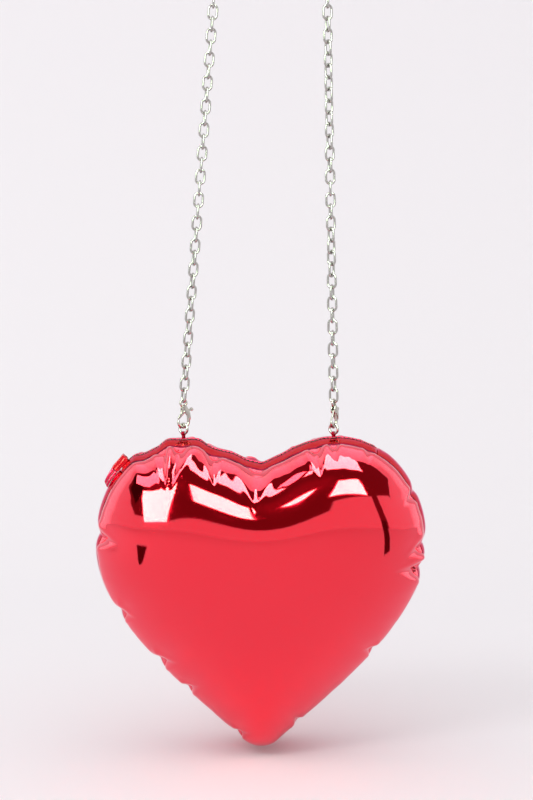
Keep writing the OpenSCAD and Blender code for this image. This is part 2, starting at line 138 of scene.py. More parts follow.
PAPER = (0.925, 0.91, 0.925, 1)
EVEN_LIGHT = (0.90, 0.89, 0.90, 1)
SURROUND = (1.0, 1.0, 1.02, 1)
OVERHEAD = (2.2, 2.0, 2.1, 1)
OVERHEAD_FROM, OVERHEAD_STEEP = 0.72, 5.0
PALE_WALL = (1.5, 1.7, 1.65, 1)
DARK = (0.19, 0.03, 0.05, 1)
DARKER = (0.04, 0.005, 0.01, 1)
DUSK = (0.30, 0.04, 0.08, 1)
SOFT_BOX = (8.0, 10.5, 8.6, 1)
WINDOW = (14.0, 19.0, 13.0, 1)
# Each panel: its corners in degrees right of the front and above level, how softly its edge
# fades, and its colour. A later panel covers an earlier one.
STUDIO_PANELS = [
    ([(-72, 60), (-150, 60), (-150, -50), (-72, -50)], 0.12, PALE_WALL),
    ([(76, 60), (150, 60), (150, -50), (76, -50)], 0.12, PALE_WALL),
    ([(-60, 50), (-64, 28), (-36, 4), (-12, 0), (3, 5), (3, 62), (-40, 60)], 0.012, DARK),
    ([(0, 9), (25, 13), (50, 14), (64, 32), (55, 52), (0, 62)], 0.012, DARK),
    ([(-62, 40), (-60, 28), (-38, 10), (-30, 20), (-42, 44)], 0.03, DARKER),
    ([(-30, 36), (-34, 24), (0, 16), (4, 34)], 0.1, DUSK),
    ([(-25, 40), (30, 38), (34, 64), (-22, 66)], 0.012, SOFT_BOX),
    ([(-34, 22), (-8, 24), (-12, 0), (-26, 0)], 0.008, WINDOW),
    ([(3, 27), (20, 28), (23, 14), (0, 14)], 0.008, WINDOW),
    ([(25, 16), (32, 15), (40, -13), (33.5, -14)], 0.01, DARK),
]

world = bpy.data.worlds.new("studio")
bpy.context.scene.world = world
world.use_nodes = True
studio = world.node_tree
studio.nodes.clear()
toward = studio.nodes.new("ShaderNodeTexCoord").outputs["Generated"]


def studio_panel(corners, soft):
    """A panel's mask by direction: 1 on the inner side of each plane through the bag and two
    neighbouring corners, fading to 0 over soft."""
    rays = [toward_angles(*corner) for corner in corners]
    mask = None
    for ray, following in zip(rays, rays[1:] + rays[:1]):
        plane = np.cross(ray, following)
        plane *= math.copysign(1, plane @ sum(rays)) / np.linalg.norm(plane)
        above = studio.nodes.new("ShaderNodeVectorMath")
        above.operation = "DOT_PRODUCT"
        above.inputs[1].default_value = plane
        studio.links.new(toward, above.inputs[0])
        inside = math_in(studio, "DIVIDE", above.outputs["Value"], soft, clamp=True)
        mask = inside if mask is None else math_in(studio, "MULTIPLY", mask, inside)
    return mask


def studio_light():
    """The colour in each direction: the pale surround, brighter overhead, under the panels."""
    parts = studio.nodes.new("ShaderNodeSeparateXYZ")
    studio.links.new(toward, parts.inputs[0])
    above = math_in(studio, "SUBTRACT", parts.outputs["Z"], OVERHEAD_FROM)
    overhead = math_in(studio, "MULTIPLY", above, OVERHEAD_STEEP, clamp=True)
    light = mix_in(studio, overhead, SURROUND, OVERHEAD)
    for corners, soft, colour in STUDIO_PANELS:
        light = mix_in(studio, studio_panel(corners, soft), light, colour)
    return light


mirrored = mix_in(studio, light_path(studio, "Is Glossy Ray"), EVEN_LIGHT, studio_light())
background = studio.nodes.new("ShaderNodeBackground")
seen = mix_in(studio, light_path(studio, "Is Camera Ray"), mirrored, PAPER)
studio.links.new(seen, background.inputs["Color"])
world_out = studio.nodes.new("ShaderNodeOutputWorld")
studio.links.new(background.outputs[0], world_out.inputs["Surface"])


def shade(name, colour, metallic, roughness):
    """A new material with its shader, and the tree to work in."""
    made = bpy.data.materials.new(name)
    made.use_nodes = True
    shader = made.node_tree.nodes["Principled BSDF"]
    shader.inputs["Base Color"].default_value = colour
    shader.inputs["Metallic"].default_value = metallic
    shader.inputs["Roughness"].default_value = roughness
    return made, made.node_tree, shader


def texture_in(tree, kind, **sockets):
    """Adds a texture that lies still on its piece, by the piece's own coordinates."""
    texture = node_in(tree, kind, **sockets)
    place = tree.nodes.new("ShaderNodeTexCoord")
    tree.links.new(place.outputs["Object"], texture.inputs["Vector"])
    return texture


def rough_between(tree, shader, mask, least, spread):
    """Sets the roughness from a mask: the least, and up to the spread more."""
    tree.links.new(math_in(tree, "MULTIPLY_ADD", mask, spread, least), shader.inputs["Roughness"])


def paper_material():
    """Pale matt paper with a faint tooth in its roughness, clear when seen from behind."""
    made, tree, shader = shade("paper", PAPER, 0.0, 0.8)
    shader.inputs["Specular IOR Level"].default_value = 0.0
    tooth = texture_in(tree, "ShaderNodeTexNoise", Scale=60.0, Detail=3.0)
    rough_between(tree, shader, tooth.outputs[0], 0.75, 0.1)
    behind = tree.nodes.new("ShaderNodeNewGeometry").outputs["Backfacing"]
    tree.links.new(math_in(tree, "SUBTRACT", 1.0, behind), shader.inputs["Alpha"])
    return made


def dark_panel_material():
    """Dark red board with a faint mottle in its roughness, there only for mirrors to show."""
    made, tree, shader = shade("dark_panel", (0.09, 0.012, 0.02, 1), 0.0, 0.85)
    shader.inputs["Specular IOR Level"].default_value = 0.1
    mottle = texture_in(tree, "ShaderNodeTexNoise", Scale=40.0)
    rough_between(tree, shader, mottle.outputs[0], 0.8, 0.1)
    tree.links.new(light_path(tree, "Is Glossy Ray"), shader.inputs["Alpha"])
    return made


NO_TRIANGLES = np.zeros((0, 3), int)


def grid_quads(rows, columns, wrap=True):
    """Quads between neighbouring rows and columns of a grid, wrapped round unless told not to."""
    across = columns if wrap else columns - 1
    row, column = np.meshgrid(np.arange(rows - 1), np.arange(across), indexing="ij")
    first = (row * columns + column).ravel()
    second = (row * columns + (column + 1) % columns).ravel()
    return np.stack([first, second, second + columns, first + columns], 1)


def smooth_mesh(name, points, quads, triangles=NO_TRIANGLES):
    """A mesh object from bag millimetres, shaded smooth."""
    mesh = bpy.data.meshes.new(name)
    mesh.from_pydata(placed(points).tolist(), [], quads.tolist() + triangles.tolist())
    mesh.polygons.foreach_set("use_smooth", np.ones(len(mesh.polygons), bool))
    made = bpy.data.objects.new(name, mesh)
    bpy.context.scene.collection.objects.link(made)
    return made


FLOOR_Z, SWEEP_BACK_Y, SWEEP_TURN_R, SWEEP_REACH = -4.0, 900.0, 500.0, 2600.0


def sweep_of_paper():
    """The backdrop: a level floor, a quarter turn and an upright wall, carried across x."""
    turn = np.radians(np.linspace(0, 90, 17))[1:]
    turn_y = SWEEP_BACK_Y - SWEEP_TURN_R + SWEEP_TURN_R * np.sin(turn)
    turn_z = FLOOR_Z + SWEEP_TURN_R - SWEEP_TURN_R * np.cos(turn)
    floor = [[-SWEEP_REACH, FLOOR_Z], [-900.0, FLOOR_Z], [SWEEP_BACK_Y - SWEEP_TURN_R, FLOOR_Z]]
    wall = [[SWEEP_BACK_Y, SWEEP_REACH]]
    profile = np.concatenate([floor, np.stack([turn_y, turn_z], 1), wall])
    sides = np.linspace(-SWEEP_REACH, SWEEP_REACH, 9)
    across = np.repeat(sides, len(profile))
    points = np.column_stack([across, np.tile(profile, (len(sides), 1))])
    return smooth_mesh("paper_sweep", points, grid_quads(len(sides), len(profile), wrap=False)[:, ::-1])


sweep = sweep_of_paper()
sweep.data.materials.append(paper_material())

# Two dark panels stand low before the floor. Each corner lies LOW_REACH away from a point of
# the bag, in its own direction.
LOW_REACH = 400
dark_panel = dark_panel_material()
for end, seen_from, corners in (
    ("left", (-71, -36, 124), [(-33, -7.5), (-23, -8), (-28, -15), (-31, -16)]),
    ("right", (75, -35, 132), [(28.8, 3), (34, 3), (39, -13.5), (33, -14)]),
):
    low_points = np.array(seen_from) + LOW_REACH * np.array([toward_angles(*corner) for corner in corners])
    low_panel = smooth_mesh(f"low_panel_{end}", low_points, np.arange(4)[None])
    low_panel.data.materials.append(dark_panel)

# Front and back faces
# Each face is one heart of foam-backed mirror vinyl, sewn to the gusset with its edge turned
# in. The sewing gathers it here and there, and each gather runs on as a short dart.
CLEFT = np.array([0.0, 173.5])
LOBE, LOBE_R = np.array([45.5, 138.0]), 50.0
SIDE, SIDE_R = np.array([28.95, 125.07]), 71.0
TIP, TIP_R = np.array([0.0, 17.0]), 17.0
LOBE_START, LOBE_END, SIDE_END, TIP_START = 112, 38, -28, -47
# The flank's curve: how far it runs on from the side's arc, what pulls it before the tip, and
# where it meets the tip's arc.
FLANK_PULL = 40
FLANK_BEND, FLANK_END = np.array([40.7, 31.7]), np.array([11.6, 4.6])
EDGE_STEP, EDGE_SOFT, OUTWARD_SOFT = 0.25, 0.9, 1.6


def full_turn(count, shift=0.0):
    """Angles once round, evenly spaced, the first shifted by a share of a step."""
    return (np.arange(count) + shift) * 2 * math.pi / count


def unit_circle(turn):
    """The points of a circle of radius one at angles."""
    return np.stack([np.cos(turn), np.sin(turn)], -1)


def circle_points(centre, radius, start, end, count):
    """Points on a circle from one angle to another, in degrees."""
    return centre + radius * unit_circle(np.radians(np.linspace(start, end, count)))


def softened(loop, reach):
    """A closed line blurred along itself: its Fourier series times a bell of the reach."""
    wave = np.fft.fftfreq(len(loop), EDGE_STEP)[:, None]
    bell = np.exp(-2 * (math.pi * wave * reach) ** 2)
    return np.fft.ifft(np.fft.fft(loop, axis=0) * bell, axis=0).real


def heart_edge():
    """The outline as points a step apart, clockwise from the cleft: a straight slope, the
    lobe's arc, a wider side arc, a bowed flank and the tip's arc, then the same mirrored.
    The points are softened a little, so that no corner is sharper than the vinyl can turn."""
    lobe = circle_points(LOBE, LOBE_R, LOBE_START, LOBE_END, 300)
    side = circle_points(SIDE, SIDE_R, LOBE_END, SIDE_END, 300)
    tip = circle_points(TIP, TIP_R, TIP_START, -90, 80)
    leave = np.array([math.sin(math.radians(SIDE_END)), -math.cos(math.radians(SIDE_END))])
    share = np.linspace(0, 1, 400)[1:, None]
    rest = 1 - share
    flank = rest**3 * side[-1] + 3 * share * rest**2 * (side[-1] + FLANK_PULL * leave)
    flank = flank + 3 * share**2 * rest * FLANK_BEND + share**3 * FLANK_END
    right = np.concatenate([[CLEFT], lobe, side[1:], flank, tip[1:]])
    whole = np.concatenate([right, right[-2:0:-1] * [-1, 1], right[:1]])
    far = np.concatenate([[0], np.cumsum(np.linalg.norm(np.diff(whole, axis=0), axis=1))])
    even = np.linspace(0, far[-1], int(far[-1] / EDGE_STEP), endpoint=False)
    points = softened(np.stack([np.interp(even, far, column) for column in whole.T], 1), EDGE_SOFT)
    step = np.roll(points, -1, 0) - np.roll(points, 1, 0)
    outward = softened(np.stack([-step[:, 1], step[:, 0]], 1), OUTWARD_SOFT)
    outward /= np.linalg.norm(outward, axis=1)[:, None]
    return points, outward, far[-1]


EDGE, EDGE_OUT, EDGE_LENGTH = heart_edge()


def on_edge(arc):
    """The outline's points and outward directions at distances along it."""
    far = np.arange(len(EDGE) + 1) * EDGE_LENGTH / len(EDGE)
    columns = np.hstack([EDGE, EDGE_OUT]).T
    spots = [np.interp(np.mod(arc, EDGE_LENGTH), far, np.append(column, column[0])) for column in columns]
    return np.stack(spots[:2], -1), np.stack(spots[2:], -1)


def inside_edge(arc, inset):
    """The outline's points at distances along it, each moved inward by its inset."""
    points, outward = on_edge(arc)
    return points - inset[..., None] * outward


def at_depth(flat, y):
    """Points of x and z, each put at its depth."""
    return np.stack([flat[..., 0], np.broadcast_to(y, flat.shape[:-1]), flat[..., 1]], -1)


def arc_of(x, z):
    """How far along the outline its nearest point to x, z lies."""
    return float(np.argmin(np.hypot(EDGE[:, 0] - x, EDGE[:, 1] - z))) * EDGE_LENGTH / len(EDGE)


def past(arc, x, z):
    """How far along the outline places lie past its nearest point to x, z, either way round."""
    return np.mod(arc - arc_of(x, z) + EDGE_LENGTH / 2, EDGE_LENGTH) - EDGE_LENGTH / 2


def arc_steps(columns):
    """Places along the whole outline, evenly spaced."""
    return np.arange(columns) * EDGE_LENGTH / columns


# Gathers: x and z where each starts on the edge, x and z where its dart ends, how deep the
# edge dips and how wide the dart is there. Front and back are gathered in different places.
FRONT_GATHERS = [
    (-57.8, 181.6, -56.6, 160.0, 2.2, 3.4),
    (-47.6, 184.6, -54.8, 158.7, 2.4, 4.6),
    (-28.9, 182.2, -27.7, 163.0, 2.2, 4.2),
    (-4.5, 172.0, -3.0, 147.5, 1.6, 6.4),
    (33.1, 182.8, 35.5, 167.2, 2.0, 3.8),
    (43.4, 184.6, 44.6, 175.0, 1.4, 2.8),
    (63.9, 182.2, 63.5, 176.0, 0.9, 2.4),
    (89.8, 155.1, 84.5, 149.9, 1.6, 3.2),
    (98.8, 125.0, 86.0, 119.6, 2.9, 4.8),
    (97.0, 110.5, 79.5, 111.8, 3.0, 5.0),
    (66.3, 63.0, 60.4, 63.0, 1.8, 3.4),
    (23.5, 16.6, 20.0, 22.0, 1.6, 3.0),
    (-16.3, 9.3, -5.4, 12.1, 1.8, 3.2),
    (-44.0, 38.9, -36.3, 41.3, 2.0, 3.6),
    (-61.4, 55.7, -49.0, 55.5, 2.6, 4.4),
    (-84.3, 85.2, -74.5, 82.4, 2.3, 4.2),
    (-98.8, 130.4, -85.0, 128.2, 2.8, 4.8),
]
BACK_GATHERS = [
    (-68.0, 179.0, -63.0, 163.0, 1.8, 3.6),
    (-36.0, 186.5, -38.0, 166.0, 1.6, 3.4),
    (-12.0, 178.0, -12.0, 164.0, 1.4, 3.4),
    (4.0, 173.0, 2.0, 149.0, 1.6, 5.0),
    (25.0, 183.0, 27.0, 164.0, 2.0, 4.0),
    (55.0, 187.0, 53.0, 171.0, 1.6, 3.4),
    (79.0, 173.0, 72.0, 163.0, 1.8, 3.4),
    (98.0, 139.0, 86.0, 136.0, 2.0, 4.0),
    (91.0, 92.0, 80.0, 94.0, 2.0, 3.8),
    (77.0, 66.0, 68.0, 70.0, 1.8, 3.4),
    (46.0, 37.0, 39.0, 43.0, 1.8, 3.6),
    (9.0, 3.0, 6.0, 16.0, 1.6, 3.0),
    (-30.0, 25.0, -24.0, 32.0, 1.8, 3.4),
    (-62.0, 51.0, -53.0, 56.0, 2.0, 3.8),
    (-88.0, 85.0, -77.0, 88.0, 1.8, 3.6),
    (-99.0, 115.0, -87.0, 115.0, 2.2, 4.0),
    (-94.0, 151.0, -83.0, 146.0, 1.8, 3.6),
]
# Longer stretches of the edge that the sewing draws in: x, z, depth and half length.
DRAWN_IN = [
    (-68.0, 182.6, 3.0, 8.5),
    (-45.5, 188.0, 0.9, 9.0),
    (-27.0, 184.3, 3.1, 9.0),
    (-12.0, 178.4, 1.9, 8.0),
    (8.0, 176.0, 1.0, 9.0),
]
# Above this height an edge dips by only a share of a gather: SEAM_SHARE at the seams, and
# ZIP_SHARE less than that beside the zip, so that the slider can run.
TOP_GATHERS, SEAM_SHARE, ZIP_SHARE = 178.0, 0.5, 0.3
# The front's gathers turn into the back's from BACK_FROM on, over TURN_SPAN. The share falls
# over as much, from ZIP_FROM inward.
BACK_FROM, ZIP_FROM, TURN_SPAN = 6, 16, 11


def gathered(arc, gathers, carried=SEAM_SHARE):
    """How far the edge dips inward: slowly where it is drawn in, and at each gather by its
    depth, or the carried share of it over the top, fading as a pointed bell."""
    dip = 0.0 * arc * carried
    for x, z, depth, half in DRAWN_IN:
        dip = dip + depth * np.exp(-((past(arc, x, z) / half) ** 4))
    for x, z, _, _, depth, wide in gathers:
        share = carried if z > TOP_GATHERS else 1.0
        dip = dip + share * depth * np.exp(-np.abs(past(arc, x, z) / wide) ** 1.5)
    return dip


def eased(value):
    """0 to 1 with a soft start and end: three times the square less twice the cube."""
    value = np.clip(value, 0, 1)
    return value * value * (3 - 2 * value)


def dipped(arc, y):
    """The dip of the edge at depth y: the front's gathers to well behind the zip, and from
    there turning smoothly into the back's, both shallower over the top near the zip."""
    back = eased((y - BACK_FROM) / TURN_SPAN)
    carried = SEAM_SHARE - ZIP_SHARE * eased((ZIP_FROM - np.abs(y)) / TURN_SPAN)
    return gathered(arc, FRONT_GATHERS, carried) * (1 - back) + gathered(arc, BACK_GATHERS, carried) * back


def smooth_distance(points, loop):
    """A distance from the loop that is exact beside it and has no ridges further in: the
    inverse root of half the sum, over the loop, of length over distance cubed."""
    along = np.roll(loop, -1, 0) - loop
    length = np.linalg.norm(along, axis=1)
    along = along / length[:, None]
    total = np.zeros(len(points))
    for some in np.array_split(np.arange(len(points)), max(1, len(points) // 4000)):
        off = points[some][:, None, :] - loop[None]
        passed = off[..., 0] * along[:, 0] + off[..., 1] * along[:, 1]
        beside = np.maximum(off[..., 0] ** 2 + off[..., 1] ** 2 - passed**2, 1e-4)
        left = length - passed
        ends = left / np.sqrt(left * left + beside) + passed / np.sqrt(passed * passed + beside)
        total[some] = (ends / beside).sum(1)
    return np.sqrt(2 / total)


FULL_AT, RIM_STEEP = 47.6, 0.6
FACE_MIDDLE = np.array([0.0, 95.0])
FACE_Y, FACE_INSET, PUFF, FACE_ROWS, FACE_CROWD = 19.1, 1.85, 21.0, 58, 1.55
# The face's turned-in edge, from its hidden end to its rim: inset from the outline, and depth.
TURNED_IN = ((3.7, 17.7), (3.0, 18.0), (2.35, 18.3), (1.95, 18.7))
# A dart: its depth over its gather's, its half width at its end, how fast it fades, and the
# height and place of the low banks beside it.
DART_DEPTH, DART_END_HALF, DART_FADE = 1.25, 0.5, 1.25
BANK_HIGH, BANK_AT = 0.32, 1.55
# How much of the dart its start has and how fast the rest comes, how steep its valley is and
# the power that points it, and how steep its banks are.
START_SHARE, START_STEEP, VALLEY_STEEP, VALLEY_POWER, BANK_STEEP = 0.2, 6, 1.4, 1.6, 2.4
# Faint ripples beside the rim: height, length and shift, and how far in they reach.
RIPPLES = ((0.03, 11.0, 0.4), (0.015, 7.3, 1.9), (0.05, 19.0, 4.1))
RIPPLE_REACH = 7 / 60


def crowded_shares(rows, power):
    """Shares of the way out from the middle, from 1 at the rim inward, closest at the rim."""
    return 1 - np.linspace(0, 1, rows)[:-1] ** power


def swell(points, rim):
    """How full the face is, 0 at its rim to 1: one minus the square of how near the rim is, to
    a power that makes the rim steep."""
    deep = np.clip(smooth_distance(points, rim) / FULL_AT, 0, 1)
    return (1 - (1 - deep) ** 2) ** RIM_STEEP


def dart_push(flat, gather):
    """How far a dart pushes the face out: a pointed valley along its line, with two low banks,
    both shrinking towards its end."""
    x, z, end_x, end_z, depth, wide = gather
    start = on_edge(arc_of(x, z))[0]
    lead = np.array([end_x, end_z]) - start
    long = np.linalg.norm(lead)
    lead /= long
    off = flat - start
    along = (off[..., 0] * lead[0] + off[..., 1] * lead[1]) / long
    across = off[..., 0] * lead[1] - off[..., 1] * lead[0]
    left = np.clip(1 - along, 0, 1)
    aside = np.abs(across) / (DART_END_HALF + wide * left)
    fade = left**DART_FADE * np.clip(along * START_STEEP + START_SHARE, 0, 1)
    valley = np.exp(-VALLEY_STEEP * aside**VALLEY_POWER)
    banks = BANK_HIGH * np.exp(-BANK_STEEP * (aside - BANK_AT) ** 2)
    return DART_DEPTH * depth * fade * (banks - valley)


def face_grid(gathers, columns, shares, inset, start_y, puff, darts=1.0):
    """A face from its rim to its middle: each row is the rim drawn in towards the middle by a
    share, lifted by its swell, and pushed along its normal by the darts and the ripples."""
    arc = arc_steps(columns)
    rim = inside_edge(arc, inset + gathered(arc, gathers))
    flat = FACE_MIDDLE + shares[:, None, None] * (rim[None] - FACE_MIDDLE)
    full = swell(flat.reshape(-1, 2), rim).reshape(flat.shape[:2])
    full[shares >= 1] = 0
    grid = at_depth(flat, start_y + puff * full)
    normal = np.cross(np.roll(grid, -1, 1) - np.roll(grid, 1, 1), np.gradient(grid, axis=0))
    normal /= np.maximum(np.linalg.norm(normal, axis=2), 1e-9)[..., None]
    normal *= np.sign(normal[len(shares) // 2, 0, 1])
    push = sum(dart_push(flat, gather) for gather in gathers)
    near = np.exp(-(((1 - shares) / RIPPLE_REACH) ** 2))[:, None]
    for height, wave_length, shift in RIPPLES:
        waves = round(EDGE_LENGTH / wave_length)
        push += height * np.sin(2 * math.pi * arc * waves / EDGE_LENGTH + shift) * near
    return grid + darts * push[..., None] * normal


def face_piece(name, side, gathers, columns=640):
    """The face's grid with its edge turned in under the rim, closed over its middle."""
    shares = crowded_shares(FACE_ROWS, FACE_CROWD)
    grid = face_grid(gathers, columns, shares, FACE_INSET, FACE_Y, PUFF)
    arc = arc_steps(columns)
    dip = gathered(arc, gathers)
    turned_in = [at_depth(inside_edge(arc, inset + dip), y) for inset, y in TURNED_IN]
    grid = np.concatenate([turned_in, grid])
    grid[..., 1] *= side
    middle = grid[-1].mean(0)
    last = (len(grid) - 1) * columns + np.arange(columns)
    fan = np.stack([last, np.roll(last, -1), np.full(columns, len(grid) * columns)], 1)
    order = slice(None, None, -1 if side > 0 else 1)
    quads = grid_quads(len(grid), columns)[:, order]
    return smooth_mesh(name, np.concatenate([grid.reshape(-1, 3), [middle]]), quads, fan[:, order])


def effect_group(name, inputs):
    """An empty shader group with number inputs, and outputs for a mask and a height."""
    tree = bpy.data.node_groups.new(name, "ShaderNodeTree")
    for label, value in inputs:
        socket = tree.interface.new_socket(label, in_out="INPUT", socket_type="NodeSocketFloat")
        socket.default_value = value
    for label in ("Mask", "Height"):
        tree.interface.new_socket(label, in_out="OUTPUT", socket_type="NodeSocketFloat")
    return tree, tree.nodes.new("NodeGroupInput"), tree.nodes.new("NodeGroupOutput")


def group_in(tree, group, **sockets):
    """Places a shader group in a tree and sets its inputs by name."""
    node = tree.nodes.new("ShaderNodeGroup")
    node.node_tree = group
    for name, value in sockets.items():
        node.inputs[name].default_value = value
    return node


def bump_into(tree, shader, height, distance):
    """Feeds a height through a Bump node to the shader's normal."""
    bump = node_in(tree, "ShaderNodeBump", Distance=distance)
    tree.links.new(height, bump.inputs["Height"])
    tree.links.new(bump.outputs[0], shader.inputs["Normal"])


def vinyl_grain_group():
    """Rolled vinyl: a height of fine pores over a slow unevenness, and a mask of faint rubs."""
    tree, given, out = effect_group("vinyl_grain", [("Pores", 900.0), ("Rubs", 45.0)])
    pores = texture_in(tree, "ShaderNodeTexNoise", Detail=2.0)
    slow = texture_in(tree, "ShaderNodeTexNoise", Scale=70.0, Detail=1.0)
    rubs = texture_in(tree, "ShaderNodeTexNoise", Detail=6.0, Roughness=0.7)
    tree.links.new(given.outputs["Pores"], pores.inputs["Scale"])
    tree.links.new(given.outputs["Rubs"], rubs.inputs["Scale"])
    height = math_in(tree, "MULTIPLY_ADD", slow.outputs[0], 3.0, pores.outputs[0])
    tree.links.new(height, out.inputs["Height"])
    over = math_in(tree, "SUBTRACT", rubs.outputs[0], 0.52)
    tree.links.new(math_in(tree, "MULTIPLY", over, 3.0, clamp=True), out.inputs["Mask"])
    return tree


VINYL_GRAIN = vinyl_grain_group()


VINYL_EDGE = (1.0, 0.42, 0.48, 1)


def mirror_vinyl(name, colour, rubbed, bump, coat, edge=VINYL_EDGE, metallic=1.0, seam_shade=None, rim=None):
    """Metallised red film under a clear coat: a mirror that rubs turn slightly duller, that
    stays red at grazing angles, that turns to a near-black painted shade where a mesh's attribute marks the
    seam's groove, and that pales to the rim colour, a painted highlight, where it turns away from the eye."""
    made, tree, shader = shade(name, colour, metallic, 0.07)
    shader.inputs["Specular Tint"].default_value = edge
    shader.inputs["Coat Weight"].default_value = coat
    shader.inputs["Coat Roughness"].default_value = 0.03
    shader.inputs["Coat IOR"].default_value = 1.5
    grain = group_in(tree, VINYL_GRAIN)
    tone = mix_in(tree, math_in(tree, "MULTIPLY", grain.outputs["Mask"], 0.35), colour, rubbed)
    # Painted highlight: the colour pales towards the rim colour where the surface turns away from the eye.
    if rim:
        rim_highlight_mask = tree.nodes.new("ShaderNodeLayerWeight").outputs["Facing"]
        tone = mix_in(tree, rim_highlight_mask, tone, rim)
    # Painted shade: where the mesh's attribute marks the seam's groove, the colour turns near-black.
    if seam_shade:
        seam_shade_mask = tree.nodes.new("ShaderNodeAttribute")
        seam_shade_mask.attribute_name = "seam_shade"
        tone = mix_in(tree, seam_shade_mask.outputs["Fac"], tone, seam_shade)
    tree.links.new(tone, shader.inputs["Base Color"])
    rough_between(tree, shader, grain.outputs["Mask"], 0.05, 0.05)
    bump_into(tree, shader, grain.outputs["Height"], bump)
    return made


def dressed(piece, material, node):
    """Gives a piece its material, and hides the CAD node that it stands for."""
    piece.data.materials.append(material)
    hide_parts(node)
    return piece


FRONT_SIDE, BACK_SIDE = (-1, "front", "front_half", FRONT_GATHERS), (1, "back", "bag", BACK_GATHERS)
# The face's rim colour is a painted highlight: a pale pink that the vinyl turns to where it faces away from
# the eye.
FACE_RED, FACE_RUBBED, FACE_RIM_HIGHLIGHT = (0.88, 0.002, 0.024, 1), (0.80, 0.008, 0.032, 1), (0.96, 0.16, 0.23, 1)
face_vinyl = mirror_vinyl("mirror_vinyl", FACE_RED, FACE_RUBBED, 0.000006, 1.0, rim=FACE_RIM_HIGHLIGHT)
for side, end, body, gathers in (FRONT_SIDE, BACK_SIDE):
    face = face_piece(f"{end}_panel_vinyl", side, gathers)
    dressed(face, face_vinyl, f"{end}_panel")
    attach(face, body)

# Foam and lining
# Behind each face lies a pad of soft white foam, and behind that a thin board covered in the
# dark red lining cloth, cut to the same heart a little smaller.
PAD_INSET, PAD_BACK_Y, PAD_FACE_Y, PAD_PUFF, PAD_DARTS = 4.9, 15.1, 18.7, 19.3, 0.8
PAD_ROWS, PAD_CROWD, PAD_BACK_ROWS = 17, 1.4, 5
BOARD_INSET, BOARD_NEAR_Y, BOARD_FAR_Y, BOARD_ROUND = 3.7, 13.75, 14.65, 0.3
# A board's section: share of the way out from the middle, how far out past its flat, depth.
BOARD_ROWS = (
    (0.05, 0, BOARD_NEAR_Y),
    (0.5, 0, BOARD_NEAR_Y),
    (1, 0, BOARD_NEAR_Y),
    (1, BOARD_ROUND, BOARD_NEAR_Y + BOARD_ROUND),
    (1, BOARD_ROUND, BOARD_FAR_Y - BOARD_ROUND),
    (1, 0, BOARD_FAR_Y),
    (0.5, 0, BOARD_FAR_Y),
    (0.05, 0, BOARD_FAR_Y),
)


def six_volumes(points, quads, triangles):
    """Six times what a closed shell holds, below 0 if it faces inward: the sum over its
    triangles of the box product of their corners, as seen from its middle."""
    halves = np.concatenate([quads[:, :3], quads[:, [0, 2, 3]], triangles])
    first, second, third = ((points - points.mean(0))[halves[:, corner]] for corner in range(3))
    return (np.cross(first, second) * third).sum()


def closed_piece(name, shells, keep_angle=40.0):
    """One object of closed shells, each turned to face out, with edges sharper than the angle
    kept crisp."""
    points, quads, triangles = [], [], []
    start = 0
    for shell in shells:
        order = slice(None, None, -1 if six_volumes(*shell) < 0 else 1)
        points.append(shell[0])
        quads.append(shell[1][:, order] + start)
        triangles.append(shell[2][:, order] + start)
        start += len(shell[0])
    made = smooth_mesh(name, np.concatenate(points), np.concatenate(quads), np.concatenate(triangles))
    made.data.set_sharp_from_angle(angle=math.radians(keep_angle))
    return made


def ringed_shell(rings):
    """A closed shell through rings of points, each end closed by a fan to its middle."""
    rings = np.asarray(rings, float)
    count, around = rings.shape[:2]
    points = np.concatenate([rings.reshape(-1, 3), [rings[0].mean(0)], [rings[-1].mean(0)]])
    first = np.arange(around)
    last = first + (count - 1) * around
    near_fan = np.stack([np.roll(first, -1), first, np.full(around, count * around)], 1)
    far_fan = np.stack([last, np.roll(last, -1), np.full(around, count * around + 1)], 1)
    return points, grid_quads(count, around), np.concatenate([near_fan, far_fan])


def looped_shell(rings):
    """A closed shell through rings of points, the last of which joins the first."""
    count, around = rings.shape[:2]
    return rings.reshape(-1, 3), grid_quads(count + 1, around) % (count * around), NO_TRIANGLES


def foam_pad(name, side, gathers, columns=200):
    """A pad with a flat back: drawn in behind, then out round its rim and over its swell."""
    shares = crowded_shares(PAD_ROWS, PAD_CROWD)
    front = face_grid(gathers, columns, shares, PAD_INSET, PAD_FACE_Y, PAD_PUFF, PAD_DARTS)
    middle = np.array([FACE_MIDDLE[0], PAD_BACK_Y, FACE_MIDDLE[1]])
    back_rim = front[0] * [1, 0, 1] + [0, PAD_BACK_Y, 0]
    back = middle + np.linspace(0.05, 1, PAD_BACK_ROWS)[:, None, None] * (back_rim - middle)
    rings = np.concatenate([back, front])
    rings[..., 1] *= side
    return closed_piece(name, [ringed_shell(rings)], 60)


def lining_board(name, side, gathers, columns=240):
    """A board: its near face from the middle out, a rounded edge, and its far face back in."""
    arc = arc_steps(columns)
    dip = gathered(arc, gathers)
    rings = []
    for share, out, y in BOARD_ROWS:
        rim = inside_edge(arc, BOARD_INSET + BOARD_ROUND - out + dip)
        rings.append(at_depth(FACE_MIDDLE + share * (rim - FACE_MIDDLE), side * y))
    return closed_piece(name, [ringed_shell(rings)])


def foam_material():
    """Open cell foam: off white, matt, with small pits."""
    made, tree, shader = shade("foam", (0.86, 0.83, 0.76, 1), 0.0, 0.95)
    pits = texture_in(tree, "ShaderNodeTexVoronoi", Scale=1100.0)
    stain = texture_in(tree, "ShaderNodeTexNoise", Scale=30.0, Detail=3.0)
    tone = mix_in(tree, stain.outputs[0], (0.88, 0.85, 0.78, 1), (0.80, 0.74, 0.62, 1))
    tree.links.new(tone, shader.inputs["Base Color"])
    bump_into(tree, shader, pits.outputs["Distance"], 0.0003)
    return made


